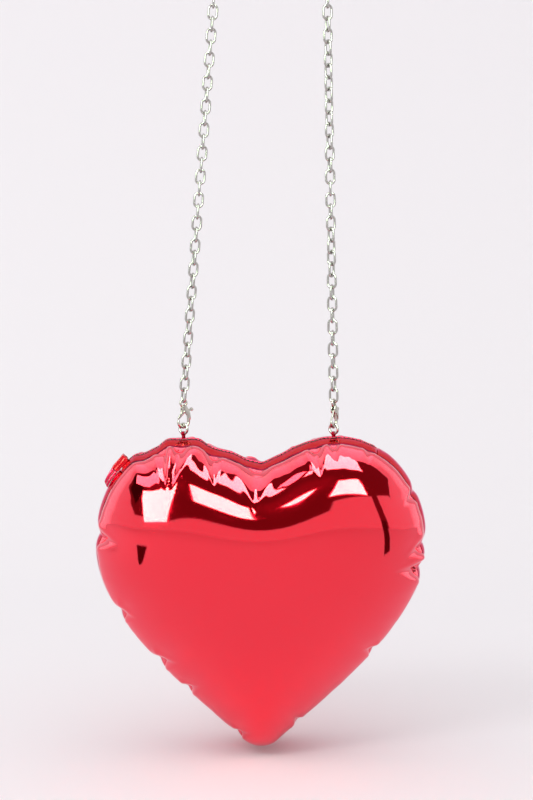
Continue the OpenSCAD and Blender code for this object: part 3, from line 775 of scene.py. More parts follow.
def weave_group():
    """Plain weave: a height of crossing threads, each rounded, and a mask of where the warp
    passes over the weft, from the sines of two of the three directions."""
    tree, given, out = effect_group("plain_weave", [("Threads", 2600.0)])
    parts = tree.nodes.new("ShaderNodeSeparateXYZ")
    tree.links.new(tree.nodes.new("ShaderNodeTexCoord").outputs["Object"], parts.inputs[0])
    level = math_in(tree, "ADD", parts.outputs["X"], parts.outputs["Y"])
    threads = given.outputs["Threads"]
    weft = math_in(tree, "SINE", math_in(tree, "MULTIPLY", level, threads))
    warp = math_in(tree, "SINE", math_in(tree, "MULTIPLY", parts.outputs["Z"], threads))
    over = math_in(tree, "MULTIPLY", weft, warp)
    rounded = math_in(tree, "MULTIPLY", math_in(tree, "ABSOLUTE", weft), 0.5)
    tree.links.new(math_in(tree, "ADD", over, rounded), out.inputs["Height"])
    tree.links.new(math_in(tree, "MULTIPLY_ADD", over, 0.5, 0.5, clamp=True), out.inputs["Mask"])
    return tree


PLAIN_WEAVE = weave_group()


def woven_cloth(name, light, dark, threads, depth, roughness):
    """Woven cloth in two tones of one colour, with its threads as height."""
    made, tree, shader = shade(name, light, 0.0, roughness)
    shader.inputs["Sheen Weight"].default_value = 0.3
    weave = group_in(tree, PLAIN_WEAVE, Threads=threads)
    tree.links.new(mix_in(tree, weave.outputs["Mask"], dark, light), shader.inputs["Base Color"])
    bump_into(tree, shader, weave.outputs["Height"], depth)
    return made


LINING_LIGHT, LINING_DARK = (0.30, 0.03, 0.05, 1), (0.17, 0.015, 0.03, 1)
foam = foam_material()
lining_cloth = woven_cloth("lining_cloth", LINING_LIGHT, LINING_DARK, 9000.0, 0.0002, 0.8)
for side, end, body, gathers in (FRONT_SIDE, BACK_SIDE):
    pad = dressed(foam_pad(f"{end}_foam_pad", side, gathers), foam, f"{end}_padding")
    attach(pad, body)
    board = lining_board(f"{end}_lining_board", side, gathers)
    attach(dressed(board, lining_cloth, f"{end}_lining"), body)

# Turned-in seams
# Face and gusset are sewn right sides together and turned, so the seam is a sunk cord of
# folded vinyl, drawn in a little by each stitch.
HALF_GUSSET = 18.0
SEAM_INSET, SEAM_R, STITCH_STEP = 3.0, 0.8, 3.2
# Shares of the seam's radius: between the stitches, and how much less at each.
SEAM_FULL, STITCH_NIP = 0.92, 0.1


def seam_cord(name, side, columns=1536, around=8):
    """A tube along the dipped edge, whose radius narrows a little at every stitch."""
    arc = arc_steps(columns)
    points, outward = on_edge(arc)
    line = points - (SEAM_INSET + dipped(arc, side * HALF_GUSSET))[:, None] * outward
    stitches = round(EDGE_LENGTH / STITCH_STEP)
    radius = SEAM_R * (SEAM_FULL - STITCH_NIP * np.cos(2 * math.pi * stitches * arc / EDGE_LENGTH) ** 8)
    turn = full_turn(around)
    flat = line[:, None] + (radius[:, None] * np.cos(turn))[..., None] * outward[:, None]
    rings = at_depth(flat, side * HALF_GUSSET + radius[:, None] * np.sin(turn))
    return closed_piece(name, [looped_shell(rings)], 70)


# The seam cord is painted a near-black red: painted shade for the shadow in the sunk seam, though the cord
# is the bag's red vinyl.
SEAM_SHADE_RED, SEAM_SHADE_RUBBED, SEAM_SHADE_EDGE = (0.16, 0.004, 0.012, 1), (0.10, 0.003, 0.008, 1), (0.3, 0.02, 0.05, 1)
seam_vinyl = mirror_vinyl("seam_vinyl", SEAM_SHADE_RED, SEAM_SHADE_RUBBED, 0.00002, 0.0, SEAM_SHADE_EDGE)
for side, end, body, _ in (FRONT_SIDE, BACK_SIDE):
    seam = seam_cord(f"{end}_seam_cord", side)
    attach(dressed(seam, seam_vinyl, f"{end}_seam"), body)

# Gusset and zip bands
# The gusset is a strip of the same vinyl. From one end of the zip round the sides and tip it
# is whole; over the top it is two bands, whose inner edges are hemmed beside the zip. Its
# outer edges turn in to the seams.
SEAM_DROP, BULGE, WALL, STRIP_COLUMNS, GUSSET_COLUMNS = 1.8, 0.8, 1.0, 420, 900
ZIP_LEFT, ZIP_RIGHT = 38.0, 60.0


def lobe_spot(mirror, degrees):
    """A point on a lobe's arc by its angle, with mirror -1 on the left."""
    return (LOBE + LOBE_R * unit_circle(math.radians(degrees))) * [mirror, 1]


ARC_RIGHT = arc_of(*lobe_spot(1, ZIP_RIGHT))
ARC_LEFT = arc_of(*lobe_spot(-1, ZIP_LEFT))
# The zip's left end as a place before the cleft, which the outline starts from.
ZIP_START = ARC_LEFT - EDGE_LENGTH
# The outer edges of every strip turn in from EDGE_TURN on, by EDGE_SHARP times the square of
# how far past it a place lies, and a painted shade for the seam's groove comes in between the two depths
# given last.
EDGE_TURN, EDGE_SHARP, SEAM_SHADE_SPAN = 16.1, 1.1, (15.9, 16.5)
# Where strips meet they stop short by END_GAP, folded under by END_FOLD over END_REACH.
END_GAP, END_FOLD, END_REACH = 0.3, 0.9, 0.9
# A band across, from its hem to the seam, and how far the hem's fold and groove lie below.
BAND_EDGE = [16.7, 17.0, 17.2]
HEM_Y = [3.35, 3.12, 3.1, 3.3, 3.7, 4.3, 4.9, 5.2, 5.5, 6.2]
HEM_SINK = [0.85, 0.5, 0.22, 0.03, -0.04, -0.02, 0.05, 0.16, 0.05, 0.0]
BAND_FLAT = np.linspace(7.5, 16.2, 8)
BAND_TRIM, BAND_BUCKLE, GUSSET_BUCKLE = 0.1, 0.12, 0.14
GUSSET_ROWS = np.concatenate([np.linspace(0, 15.8, 13), [16.3], BAND_EDGE])
# The whole strip lies a little lower than the bands, and from each end its bulge grows from
# BULGE_AT_END to whole over STRIP_RISE.
STRIP_SINK, STRIP_RISE, BULGE_AT_END = 0.3, 9, 0.25
# The slow waves of a strip: height, length for one radian, and shift.
BUCKLES = ((1.0, 9.3, 0.7), (0.7, 5.1, 2.2), (0.5, 3.1, 0.0))


def strip_shell(arc, y, extra, wall):
    """A strip along the outline: each point lies inside it by the seam's drop times the square
    of how near the seam is, by the dips and by the extra, and a second skin lies a wall's
    thickness further in."""
    crown = SEAM_DROP * (y / HALF_GUSSET) ** 2
    sink = crown[:, None] + extra + dipped(arc[None], np.broadcast_to(y[:, None], (len(y), len(arc))))
    outer, inner = (at_depth(inside_edge(arc, sink + deeper), y[:, None]) for deeper in (0.0, wall))
    loop = np.concatenate([outer, inner[::-1]]).transpose(1, 0, 2)
    count, around = loop.shape[:2]
    step = np.arange(len(y) - 1)
    cap = np.stack([step, around - 1 - step, around - 2 - step, step + 1], 1)
    quads = np.concatenate([grid_quads(count, around), cap, cap[:, ::-1] + (count - 1) * around])
    return loop.reshape(-1, 3), quads, NO_TRIANGLES


def mark_seam_shade(piece):
    """Stores an attribute of painted shade on a strip: 0 over most of it, and 1 in its last stretch
    before the seam, where the groove lies in shade."""
    places = np.empty(3 * len(piece.data.vertices), np.float32)
    piece.data.vertices.foreach_get("co", places)
    y = np.abs(places[1::3] * 1000 + STRAP_TOP[1])
    mark = piece.data.attributes.new("seam_shade", "FLOAT", "POINT")
    share = np.clip((y - SEAM_SHADE_SPAN[0]) / (SEAM_SHADE_SPAN[1] - SEAM_SHADE_SPAN[0]), 0, 1)
    mark.data.foreach_set("value", share.astype(np.float32))


def edge_roll(y):
    """The turned-in edge: grows as the square of how far past its start a depth lies."""
    return EDGE_SHARP * np.clip(np.abs(y) - EDGE_TURN, 0, None)[:, None] ** 2


def slow_buckle(arc, y, size):
    """Faint waves across the strip where the sewing draws it up, gone at its middle line."""
    wave = sum(height * np.sin(arc / length + shift) for height, length, shift in BUCKLES)
    return size * wave[None] * ((np.abs(y) / HALF_GUSSET) ** 2)[:, None]


def end_fold(arc):
    """How far a strip's ends fold under, and how far each place lies from the nearer end."""
    ends = np.minimum(arc - arc[0], arc[-1] - arc)
    return END_FOLD * np.exp(-((ends / END_REACH) ** 2))[None], ends


def zip_band(name, side):
    """A band from its hem beside the zip out to the seam: the hem is a rounded fold with a
    sewn groove behind it."""
    y = np.concatenate([HEM_Y, BAND_FLAT, BAND_EDGE])
    hem = np.concatenate([HEM_SINK, np.zeros(len(y) - len(HEM_Y))])
    arc = np.linspace(ZIP_START + END_GAP + BAND_TRIM, ARC_RIGHT - END_GAP, STRIP_COLUMNS)
    extra = hem[:, None] + edge_roll(y) + slow_buckle(arc, y, BAND_BUCKLE) + end_fold(arc)[0]
    return closed_piece(name, [strip_shell(arc, side * y, extra, WALL)], 75)


def bulge_at(ends):
    """How much of the bulge a place has, by how far it lies from the strip's nearer end."""
    return BULGE * (BULGE_AT_END + (1 - BULGE_AT_END) * eased(ends / STRIP_RISE))


def lower_gusset_piece():
    """The whole strip round the sides and tip, bulging out half way across, with both of its
    ends folded under where the bands meet it."""
    y = np.concatenate([-GUSSET_ROWS[:0:-1], GUSSET_ROWS])
    arc = np.linspace(ARC_RIGHT + END_GAP, ARC_LEFT - END_GAP, GUSSET_COLUMNS)
    fold, ends = end_fold(arc)
    bulge = (1 - (y / HALF_GUSSET) ** 2)[:, None] * bulge_at(ends)[None]
    extra = STRIP_SINK - bulge + edge_roll(y) + slow_buckle(arc, y, GUSSET_BUCKLE) + fold
    return closed_piece("lower_gusset_strip", [strip_shell(arc, y, extra, WALL)], 75)


GUSSET_RED, GUSSET_RUBBED = (0.68, 0.010, 0.075, 1), (0.58, 0.012, 0.06, 1)
GUSSET_EDGE, SEAM_SHADE_DARK = (0.86, 0.10, 0.28, 1), (0.05, 0.002, 0.012, 1)
# Towards each seam the gusset's colour turns near-black: painted shade for the shadow in the seam's groove.
gusset_vinyl = mirror_vinyl(
    "gusset_vinyl", GUSSET_RED, GUSSET_RUBBED, 0.00001, 0.2, GUSSET_EDGE, seam_shade=SEAM_SHADE_DARK
)
for side, end, body, _ in (FRONT_SIDE, BACK_SIDE):
    band = dressed(zip_band(f"{end}_band", side), gusset_vinyl, f"{end}_zip_band")
    mark_seam_shade(band)
    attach(band, body)
strip = dressed(lower_gusset_piece(), gusset_vinyl, "lower_gusset")
mark_seam_shade(strip)
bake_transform(strip)

# Zip tapes and teeth
# Two dark woven tapes run between the hems, and each carries a row of small moulded teeth
# along its inner edge. The rows are half a step apart, so that they would mesh.
TAPE_Y = np.array([1.62, 1.75, 2.1, 2.5, 2.9, 3.3])
TAPE_SINK = np.array([0.62, 0.48, 0.42, 0.43, 0.5, 0.85])
TAPE_THICK, TAPE_FROM, TAPE_TO = 0.5, ZIP_START + 1.0, ARC_RIGHT - 0.8
TEETH_LEFT, TOOTH_STEP, TOOTH_SINK = 44.0, 2.5, 0.4
# A tooth's rings, from its root in the tape to its head: depth, half length and half height.
TOOTH_RINGS = (
    (1.75, 0.42, 0.36),
    (1.25, 0.52, 0.5),
    (0.75, 0.62, 0.58),
    (0.42, 0.64, 0.6),
    (0.33, 0.5, 0.46),
)


def zip_tape(name, side):
    """A tape from under its hem to the teeth, with a corded inner edge."""
    arc = np.linspace(TAPE_FROM, TAPE_TO, STRIP_COLUMNS)
    sink = np.broadcast_to(TAPE_SINK[:, None], (len(TAPE_SINK), len(arc)))
    return closed_piece(name, [strip_shell(arc, side * TAPE_Y, sink, TAPE_THICK)], 60)


def squared_circle(turn, power):
    """A circle's cosines and sines, each to a power that squares its corners."""
    across, up = np.cos(turn), np.sin(turn)
    return np.sign(across) * np.abs(across) ** power, np.sign(up) * np.abs(up) ** power


def teeth_row(name, side):
    """A row of teeth, each of five rounded rings that stand along the edge's direction."""
    start = arc_of(*lobe_spot(-1, TEETH_LEFT)) - EDGE_LENGTH
    shift = 0.5 if side > 0 else 1.0
    arc = np.arange(start + shift * TOOTH_STEP, ARC_RIGHT - TOOTH_STEP, TOOTH_STEP)
    points, outward = on_edge(arc)
    along = np.stack([outward[:, 1], -outward[:, 0]], 1)
    level, up = squared_circle(full_turn(8, 0.5), 0.7)
    rings = []
    for y, half_long, half_high in TOOTH_RINGS:
        middle = points - (TOOTH_SINK + dipped(arc, np.full(len(arc), side * y)))[:, None] * outward
        flat = middle[:, None] + half_long * level[None, :, None] * along[:, None]
        flat = flat + half_high * up[None, :, None] * outward[:, None]
        rings.append(at_depth(flat, side * y))
    return closed_piece(name, [ringed_shell(tooth) for tooth in np.stack(rings, 1)], 45)


def resin_material():
    """Dark moulded resin, rubbed a little duller in places."""
    made, tree, shader = shade("zip_teeth", (0.05, 0.010, 0.014, 1), 0.0, 0.32)
    grain = group_in(tree, VINYL_GRAIN, Rubs=400.0)
    rough_between(tree, shader, grain.outputs["Mask"], 0.28, 0.25)
    return made


TAPE_LIGHT, TAPE_DARK = (0.055, 0.012, 0.016, 1), (0.02, 0.005, 0.007, 1)
tape_cloth = woven_cloth("zip_tape", TAPE_LIGHT, TAPE_DARK, 7000.0, 0.0001, 0.75)
resin = resin_material()
for side, end, body, _ in (FRONT_SIDE, BACK_SIDE):
    tape = zip_tape(f"{end}_tape", side)
    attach(dressed(tape, tape_cloth, f"{end}_zip_tape"), body)
    teeth = teeth_row(f"{end}_teeth", side)
    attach(dressed(teeth, resin, f"{end}_zip_teeth"), body)

# Slider and puller
# The slider is red enamelled metal: a body over the teeth and a plate under them, joined by a
# neck. Its puller is a strip of the bag's vinyl, folded round the pin and lying on the gusset.
SLIDER_ANGLE = 41.0
SLIDER_SPOT = lobe_spot(-1, SLIDER_ANGLE)
SLIDER_TURN = math.radians(90 - SLIDER_ANGLE)
SLIDER_ALONG = unit_circle(SLIDER_TURN)
SLIDER_OUT = unit_circle(SLIDER_TURN + math.pi / 2)
# Bars along the slider: from, to, half width, bottom, top, and the lip its ends round off over.
SLIDER_BODY = (-5.0, 5.0, 3.1, 0.72, 3.12, 0.7)
SLIDER_PLATE = (-5.0, 5.0, 2.9, -3.4, -2.85, 0.2)
SLIDER_FLANGE = (-4.6, 4.6, 0.35, -0.1, 1.4, 0.3)
SLIDER_WALL = (-4.95, 5.0, 0.45, 2.4, 4.6, 1.05)
FLANGE_Y, WALL_Y = 2.6, 2.67
# The neck between body and plate: where it starts and ends, half width, bottom and top.
NECK_FROM, NECK_TO, NECK_FORM = 2.0, 4.8, (0.2, -3.0, 1.0)
HINGE_X, HINGE_Z, PIN_R, PIN_HALF_L = 4.2, 3.95, 0.55, 3.2
EYE_DISC_R, EYE_DISC_HALF_W = 0.95, 1.95
# The puller's neck between the walls: place along, half width, bottom and top.
PULLER_NECK = [
    (4.3, 1.9, 3.45, 4.45),
    (2.4, 2.0, 3.4, 4.55),
    (-1.0, 2.0, 3.4, 4.55),
    (-4.2, 2.05, 3.35, 4.5),
    (-5.6, 2.05, 3.1, 4.4),
]
# The puller's leaf: place along and half width, its rounded corners at both ends.
LEAF_WIDTHS = [
    (-5.2, 2.3),
    (-5.35, 2.8),
    (-5.8, 3.02),
    (-6.6, 3.08),
    (-9.0, 3.1),
    (-12.0, 3.1),
    (-14.6, 3.08),
    (-16.0, 3.0),
    (-16.55, 2.8),
    (-16.8, 2.3),
]
LEAF_START, LEAF_LIFT, LEAF_TOP, LEAF_SLOPE = -5.2, 0.14, 4.45, 0.165
# The leaf's end: where it rounds off, over what length and by how much. From LEAN_FROM on it
# leans back to the slider by LEAN of its height over the gusset, in full after LEAN_SPAN.
ROUND_FROM, ROUND_SPAN, ROUND_BY = 16.0, 0.8, 0.3
LEAN_FROM, LEAN_SPAN, LEAN = 11, 5, 0.5
LEAF_LAYERS = ((0.0, 0.47), (0.49, 1.0))
# A disc's rings: shares of its half width and of its radius.
DISC_RINGS = ((-1.0, 0.82), (-0.88, 0.94), (-0.6, 1.0), (0.6, 1.0), (0.88, 0.94), (1.0, 0.82))
# How far along the outline the gusset is followed under the puller.
CREST_REACH = 30


def on_slider(local):
    """Slider millimetres (along the zip, across, outward) to bag millimetres."""
    flat = SLIDER_SPOT + local[:, :1] * SLIDER_ALONG + local[:, 2:] * SLIDER_OUT
    return at_depth(flat, local[:, 1])


def lofted(stations, power=0.5, around=28):
    """A closed shell along x through rounded oblongs, each given by its place along, its half
    width, and its lower and upper height; the power sets how square they are."""
    level, up = squared_circle(full_turn(around), power)
    rings = []
    for x, half, low, high in stations:
        heights = (low + high) / 2 + (high - low) / 2 * up
        rings.append(np.stack([np.full(around, x), half * level, heights], 1))
    return ringed_shell(rings)


def disc(x, z, radius, half_width, around=28):
    """A disc whose axis lies across, with a rounded rim."""
    circle = radius * unit_circle(full_turn(around))
    return ringed_shell([at_depth([x, z] + size * circle, half_width * share) for share, size in DISC_RINGS])


def tapered_ends(start, end, half, low, high, lip, steps=5):
    """Stations of a bar whose ends round off over a lip, as quarter circles."""
    turn = np.linspace(0, math.pi / 2, steps)
    drops = lip * (1 - np.cos(turn))[::-1]
    places = start + lip * (1 - np.sqrt(np.clip(1 - (1 - np.sin(turn)) ** 2, 0, None)))
    near = [(x, half - drop, low + drop, high - drop) for x, drop in zip(places, drops)]
    return near + [(start + end - x, *form) for x, *form in near[::-1]]


def moved_across(shell, y):
    """A shell moved across the zip."""
    points, quads, triangles = shell
    return points + [0, y, 0], quads, triangles


def turned_shells(shells, turn):
    """Shells whose points go through a change of place."""
    return [(turn(points), quads, triangles) for points, quads, triangles in shells]


def slider_piece():
    """Body, plate, neck, flanges, a wall along each side and the pin between the walls."""
    flange = lofted(tapered_ends(*SLIDER_FLANGE), 0.4, 16)
    wall = lofted(tapered_ends(*SLIDER_WALL, 8), 0.4, 24)
    shells = [
        lofted(tapered_ends(*SLIDER_BODY), 0.45),
        lofted(tapered_ends(*SLIDER_PLATE), 0.35),
        moved_across(flange, -FLANGE_Y),
        moved_across(flange, FLANGE_Y),
        lofted([(NECK_FROM, *NECK_FORM), (NECK_TO, *NECK_FORM)], 0.3, 16),
        disc(HINGE_X, HINGE_Z, PIN_R, PIN_HALF_L, 20),
        moved_across(wall, -WALL_Y),
        moved_across(wall, WALL_Y),
    ]
    return closed_piece("slider_body", turned_shells(shells, on_slider), 35)


def crest_under(x):
    """How high the gusset's crest lies under places along the slider's line."""
    arc = np.linspace(ARC_LEFT - CREST_REACH, ARC_LEFT - END_GAP, 200)
    sink = STRIP_SINK - bulge_at(ARC_LEFT - END_GAP - arc) + dipped(arc, 0 * arc)
    off = inside_edge(arc, sink) - SLIDER_SPOT
    order = np.argsort(off @ SLIDER_ALONG)
    return np.interp(x, (off @ SLIDER_ALONG)[order], (off @ SLIDER_OUT)[order])


def puller_piece():
    """The strip: an eye round the pin, a narrow neck between the walls, then two layers of the
    full width, which lie on the gusset and are folded together at their rounded end."""
    shells = [lofted(PULLER_NECK, 0.4), disc(HINGE_X, HINGE_Z, EYE_DISC_R, EYE_DISC_HALF_W)]
    for layer in LEAF_LAYERS:
        stations = []
        for x, half in LEAF_WIDTHS:
            rounded = ROUND_BY * max(0.0, (-x - ROUND_FROM) / ROUND_SPAN) ** 2
            low = crest_under(x) + LEAF_LIFT + rounded
            high = LEAF_TOP + (x - LEAF_START) * LEAF_SLOPE - rounded
            stations.append((x, half, *(low + share * (high - low) for share in layer)))
        points, quads, triangles = lofted(stations, 0.35, 36)
        over = points[:, 2] - crest_under(points[:, 0])
        points[:, 0] += LEAN * over * np.clip((-points[:, 0] - LEAN_FROM) / LEAN_SPAN, 0, 1)
        shells.append((points, quads, triangles))
    return closed_piece("puller_strap", turned_shells(shells, on_slider), 35)


ENAMEL_RED, ENAMEL_WORN = (0.66, 0.005, 0.018, 1), (0.72, 0.02, 0.04, 1)


def enamel_material():
    """Red enamel over metal, worn to a paler red where the noise runs high."""
    made, tree, shader = shade("slider_enamel", ENAMEL_RED, 0.1, 0.25)
    shader.inputs["Specular IOR Level"].default_value = 0.2
    shader.inputs["Coat Weight"].default_value = 0.1
    grain = group_in(tree, VINYL_GRAIN, Rubs=260.0)
    worn = math_in(tree, "MULTIPLY", grain.outputs["Mask"], 0.4)
    tree.links.new(mix_in(tree, worn, ENAMEL_RED, ENAMEL_WORN), shader.inputs["Base Color"])
    rough_between(tree, shader, grain.outputs["Mask"], 0.14, 0.2)
    return made


PULLER_RED, PULLER_RUBBED, PULLER_EDGE = (0.66, 0.020, 0.085, 1), (0.60, 0.02, 0.06, 1), (0.8, 0.1, 0.3, 1)
puller_vinyl = mirror_vinyl("puller_vinyl", PULLER_RED, PULLER_RUBBED, 0.00001, 0.4, PULLER_EDGE, 0.35)
slider = dressed(slider_piece(), enamel_material(), "zip_slider")
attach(slider, "zip_slider")
puller = dressed(puller_piece(), puller_vinyl, "zip_puller")
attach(puller, "zip_puller")

# Rings and their loops
# Just behind the zip two loops of folded vinyl are sewn in, and each holds a small round ring
# of plated wire.
RINGS = {"left": -47.0, "right": 44.0}
STRAP_Y = STRAP_TOP[1]
RING_FOOT, RING_R, RING_WIRE_R = 189.312, 3.0, 0.8
RING_YAW = math.radians(-37)
LOOP_R, LOOP_WALL, LOOP_HALF = 1.2, 0.34, 0.9
# One leg of the loop, from its sewn end up to its bend: place across and height.
LOOP_LEG = np.array([[0.62, -6.0], [0.62, -3.4], [0.58, -2.2], [0.56, -1.6]])
LOOP_BEND = (-62, 242)


def upright(x, z, yaw, local):
    """Points given as (across, up, forward) about an upright line at x, turned by yaw."""
    across, up, ahead = np.moveaxis(np.asarray(local, float), -1, 0)
    turned_x = x + across * math.cos(yaw) + ahead * math.sin(yaw)
    return np.stack([turned_x, STRAP_Y + across * math.sin(yaw) - ahead * math.cos(yaw), z + up], -1)


def unit(steps):
    """Directions of length one."""
    return steps / np.linalg.norm(steps, axis=1)[:, None]


def tube(line, radii, normal, around=14, closed=False):
    """A tube along a line of points in one plane whose normal is given: each ring lies in the
    plane of the line's own normal and that one. It closes on itself or ends in caps."""
    line = np.asarray(line, float)
    radii = np.broadcast_to(radii, len(line))
    ahead = np.roll(line, -1, 0) - np.roll(line, 1, 0) if closed else np.gradient(line, axis=0)
    ahead = unit(ahead)
    side = unit(np.cross(ahead, normal))
    lift = np.cross(side, ahead)
    turn = full_turn(around, 0.5)
    round_by = np.cos(turn)[None, :, None] * side[:, None] + np.sin(turn)[None, :, None] * lift[:, None]
    rings = line[:, None] + radii[:, None, None] * round_by
    return looped_shell(rings) if closed else ringed_shell(rings)


def flat_ring(radius, height, count):
    """A closed circle of points in the upright plane, about a middle at a height."""
    return np.column_stack([[0, height] + radius * unit_circle(full_turn(count)), np.zeros(count)])


def loop_piece(name, x):
    """A strip that comes up out of the band, goes round the ring's foot and back down."""
    bend = np.radians(np.linspace(*LOOP_BEND, 34))
    over = LOOP_R * unit_circle(bend)
    path = np.concatenate([LOOP_LEG, over, LOOP_LEG[::-1] * [-1, 1]])
    ahead = unit(np.gradient(path, axis=0))
    out = np.stack([ahead[:, 1], -ahead[:, 0]], 1)
    turn = full_turn(16, 0.5)
    wall = LOOP_WALL / 2 * squared_circle(turn, 0.4)[0]
    wide = LOOP_HALF * squared_circle(turn, 0.25)[1]
    section = path[:, None] + wall[None, :, None] * out[:, None]
    local = np.stack([np.broadcast_to(wide, section.shape[:2]), section[..., 1], section[..., 0]], -1)
    return closed_piece(name, [ringed_shell(upright(x, RING_FOOT, RING_YAW, local))], 50)


def ring_piece(name, x):
    """A round ring of wire."""
    wire = tube(flat_ring(RING_R, RING_R, 64), RING_WIRE_R, (0, 0, 1), 18, closed=True)
    return closed_piece(name, turned_shells([wire], lambda points: upright(x, RING_FOOT, RING_YAW, points)))


def fine_scratch_group():
    """Polished metal: a mask of hairlines from noise stretched along one direction, and a
    height of slow unevenness."""
    tree, given, out = effect_group("fine_scratches", [("Hairs", 1500.0)])
    stretch = texture_in(tree, "ShaderNodeMapping", Scale=(1.0, 1.0, 0.12), Rotation=(0.5, 0.3, 0.2))
    hair = node_in(tree, "ShaderNodeTexNoise", Detail=3.0)
    slow = texture_in(tree, "ShaderNodeTexNoise", Scale=420.0, Detail=2.0)
    tree.links.new(stretch.outputs[0], hair.inputs["Vector"])
    tree.links.new(given.outputs["Hairs"], hair.inputs["Scale"])
    over = math_in(tree, "SUBTRACT", hair.outputs[0], 0.5)
    tree.links.new(math_in(tree, "MULTIPLY", over, 4.0, clamp=True), out.inputs["Mask"])
    tree.links.new(slow.outputs[0], out.inputs["Height"])
    return tree


FINE_SCRATCHES = fine_scratch_group()


def polished_metal(name, colour, dull_colour, roughness=0.1):
    """Bright plate whose scratches are a little duller and rougher."""
    made, tree, shader = shade(name, colour, 1.0, roughness)
    worn = group_in(tree, FINE_SCRATCHES)
    duller = math_in(tree, "MULTIPLY", worn.outputs["Mask"], 0.5)
    tree.links.new(mix_in(tree, duller, colour, dull_colour), shader.inputs["Base Color"])
    rough_between(tree, shader, worn.outputs["Mask"], roughness, 0.12)
    bump_into(tree, shader, worn.outputs["Height"], 0.00001)
    return made


# The loops are painted a darker, duller red than the bag's vinyl: painted shade that keeps them dim behind
# the zip.
LOOP_SHADE_RED, LOOP_SHADE_RUBBED, LOOP_SHADE_EDGE = (0.42, 0.008, 0.03, 1), (0.34, 0.01, 0.03, 1), (0.5, 0.05, 0.1, 1)
ring_metal = polished_metal("ring_metal", (0.52, 0.49, 0.46, 1), (0.34, 0.32, 0.30, 1))
loop_vinyl = mirror_vinyl("loop_vinyl", LOOP_SHADE_RED, LOOP_SHADE_RUBBED, 0.00001, 0.1, LOOP_SHADE_EDGE)
for end, x in RINGS.items():
    loop = loop_piece(f"{end}_ring_loop", x)
    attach(dressed(loop, loop_vinyl, f"ring_tab_{end}"), "bag")
    ring = ring_piece(f"{end}_ring", x)
    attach(dressed(ring, ring_metal, f"ring_{end}"), f"ring_{end}")

# Clasps
# Each strand ends in a small spring clasp: a hook whose wire runs up into a teardrop body of
# two cheeks, with an eye on top, and between the cheeks a gate with a thumb knob.
HOOK_R, HOOK_WIRE_R, HOOK_SLACK = 3.3, 0.9, 0.3
# The hook hangs in the ring's top, and its middle lies its own radius above its lowest wire.
HOOK_UP = RING_FOOT + 2 * RING_R - RING_WIRE_R - HOOK_SLACK - HOOK_WIRE_R + HOOK_R
CLASP_YAW = {"left": math.radians(25), "right": math.radians(62)}
PIN_AT = np.array([0.2, 6.2])
EYE_UP, EYE_R, EYE_WIRE_R = 11.5, 2.0, 0.68
# The hook's wire ends at HOOK_TIP degrees, in two small rings of HOOK_POINT's radii. From
# there its radius swells along the hook and up the spine: from, to and over how many rings.
HOOK_TIP, HOOK_POINT = 158.0, (0.45, 0.64)
HOOK_SWELLS = ((0.72, 0.95, 12), (0.95, 1.0, 32), (1.0, 1.15, 8))
SPINE = [[3.3, 0.8], [3.32, 2.0], [3.3, 3.4], [3.1, 5.0], [2.6, 6.6], [1.8, 8.1], [0.9, 9.3], [0.2, 9.9]]
CHEEK = [
    (4.1, 1.2), (4.25, 3.2), (3.9, 5.4), (3.1, 7.3), (2.0, 8.9), (0.8, 10.0), (-0.6, 10.0), (-1.3, 8.7),
    (-1.4, 7.2), (-1.2, 5.8), (-0.2, 5.0), (0.9, 5.1), (1.9, 4.3), (2.6, 2.8), (3.2, 1.2),
]
CHEEK_NEAR, CHEEK_FAR, CHEEK_LIP = 0.72, 1.48, 0.24
GATE_TIP, GATE_KNOB = np.array([-3.3, 1.95]), PIN_AT + [5.0, 1.1]
GATE_FROM, GATE_TO, GATE_LIP = -0.25, 0.55, 0.14
# Half widths of the gate's arm and of its lever, at the pin and at their ends.
ARM_HALVES, LEVER_HALVES = (1.15, 0.55), (1.0, 0.5)
KNOB_R, KNOB_DEPTH, KNOB_LIP = 1.1, 0.6, 0.2
# The clasp pin's rings, from a domed head inward: depth and radius.
CLASP_PIN = ((1.62, 0.3), (1.58, 0.55), (1.48, 0.66), (1.3, 0.6))
SPRING_R, SPRING_WIRE_R, SPRING_Y, SPRING_RISE = 0.78, 0.1, -0.6, 0.022
GATE_LEG = [[2.6, 6.9, SPRING_Y], [1.6, 6.5, SPRING_Y]]
SPINE_LEG = [[0.2, 4.9, -0.33], [-1.4, 3.9, -0.3]]


def rounded_loop(corners, count=72):
    """A smooth closed line through corners: a closed spline whose slope at each corner is half
    the step between its neighbours."""
    corners = np.asarray(corners, float)
    place = np.arange(count) * len(corners) / count
    whole = place.astype(int)
    share = (place - whole)[:, None]
    before, start, end, after = (corners[(whole + step) % len(corners)] for step in (-1, 0, 1, 2))
    leave, arrive = (end - before) / 2, (after - start) / 2
    ending = 3 * share**2 - 2 * share**3
    bends = (share**3 - 2 * share**2 + share) * leave + (share**3 - share**2) * arrive
    return (1 - ending) * start + ending * end + bends


def plate(outline, low, high, lip):
    """A plate of an outline between two depths, its rims rounded over a lip."""
    ahead = np.roll(outline, -1, 0) - np.roll(outline, 1, 0)
    out = unit(np.stack([ahead[:, 1], -ahead[:, 0]], 1))
    following = np.roll(outline, -1, 0)
    if (outline[:, 0] * following[:, 1] - outline[:, 1] * following[:, 0]).sum() < 0:
        out = -out
    rims = [(low, lip), (low + lip * 0.3, lip * 0.3), (low + lip, 0)]
    rims += [(high - lip, 0), (high - lip * 0.3, lip * 0.3), (high, lip)]
    rings = [np.column_stack([outline - inset * out, np.full(len(out), depth)]) for depth, inset in rims]
    return ringed_shell(rings)


def capsule(start, end, start_r, end_r, count=24):
    """The outline of a bar between two points with round ends."""
    lean = math.atan2(end[1] - start[1], end[0] - start[0])
    turn = np.linspace(math.pi / 2, 3 * math.pi / 2, count // 2) + lean
    half = unit_circle(turn)
    return np.concatenate([start + start_r * half, end - end_r * half])


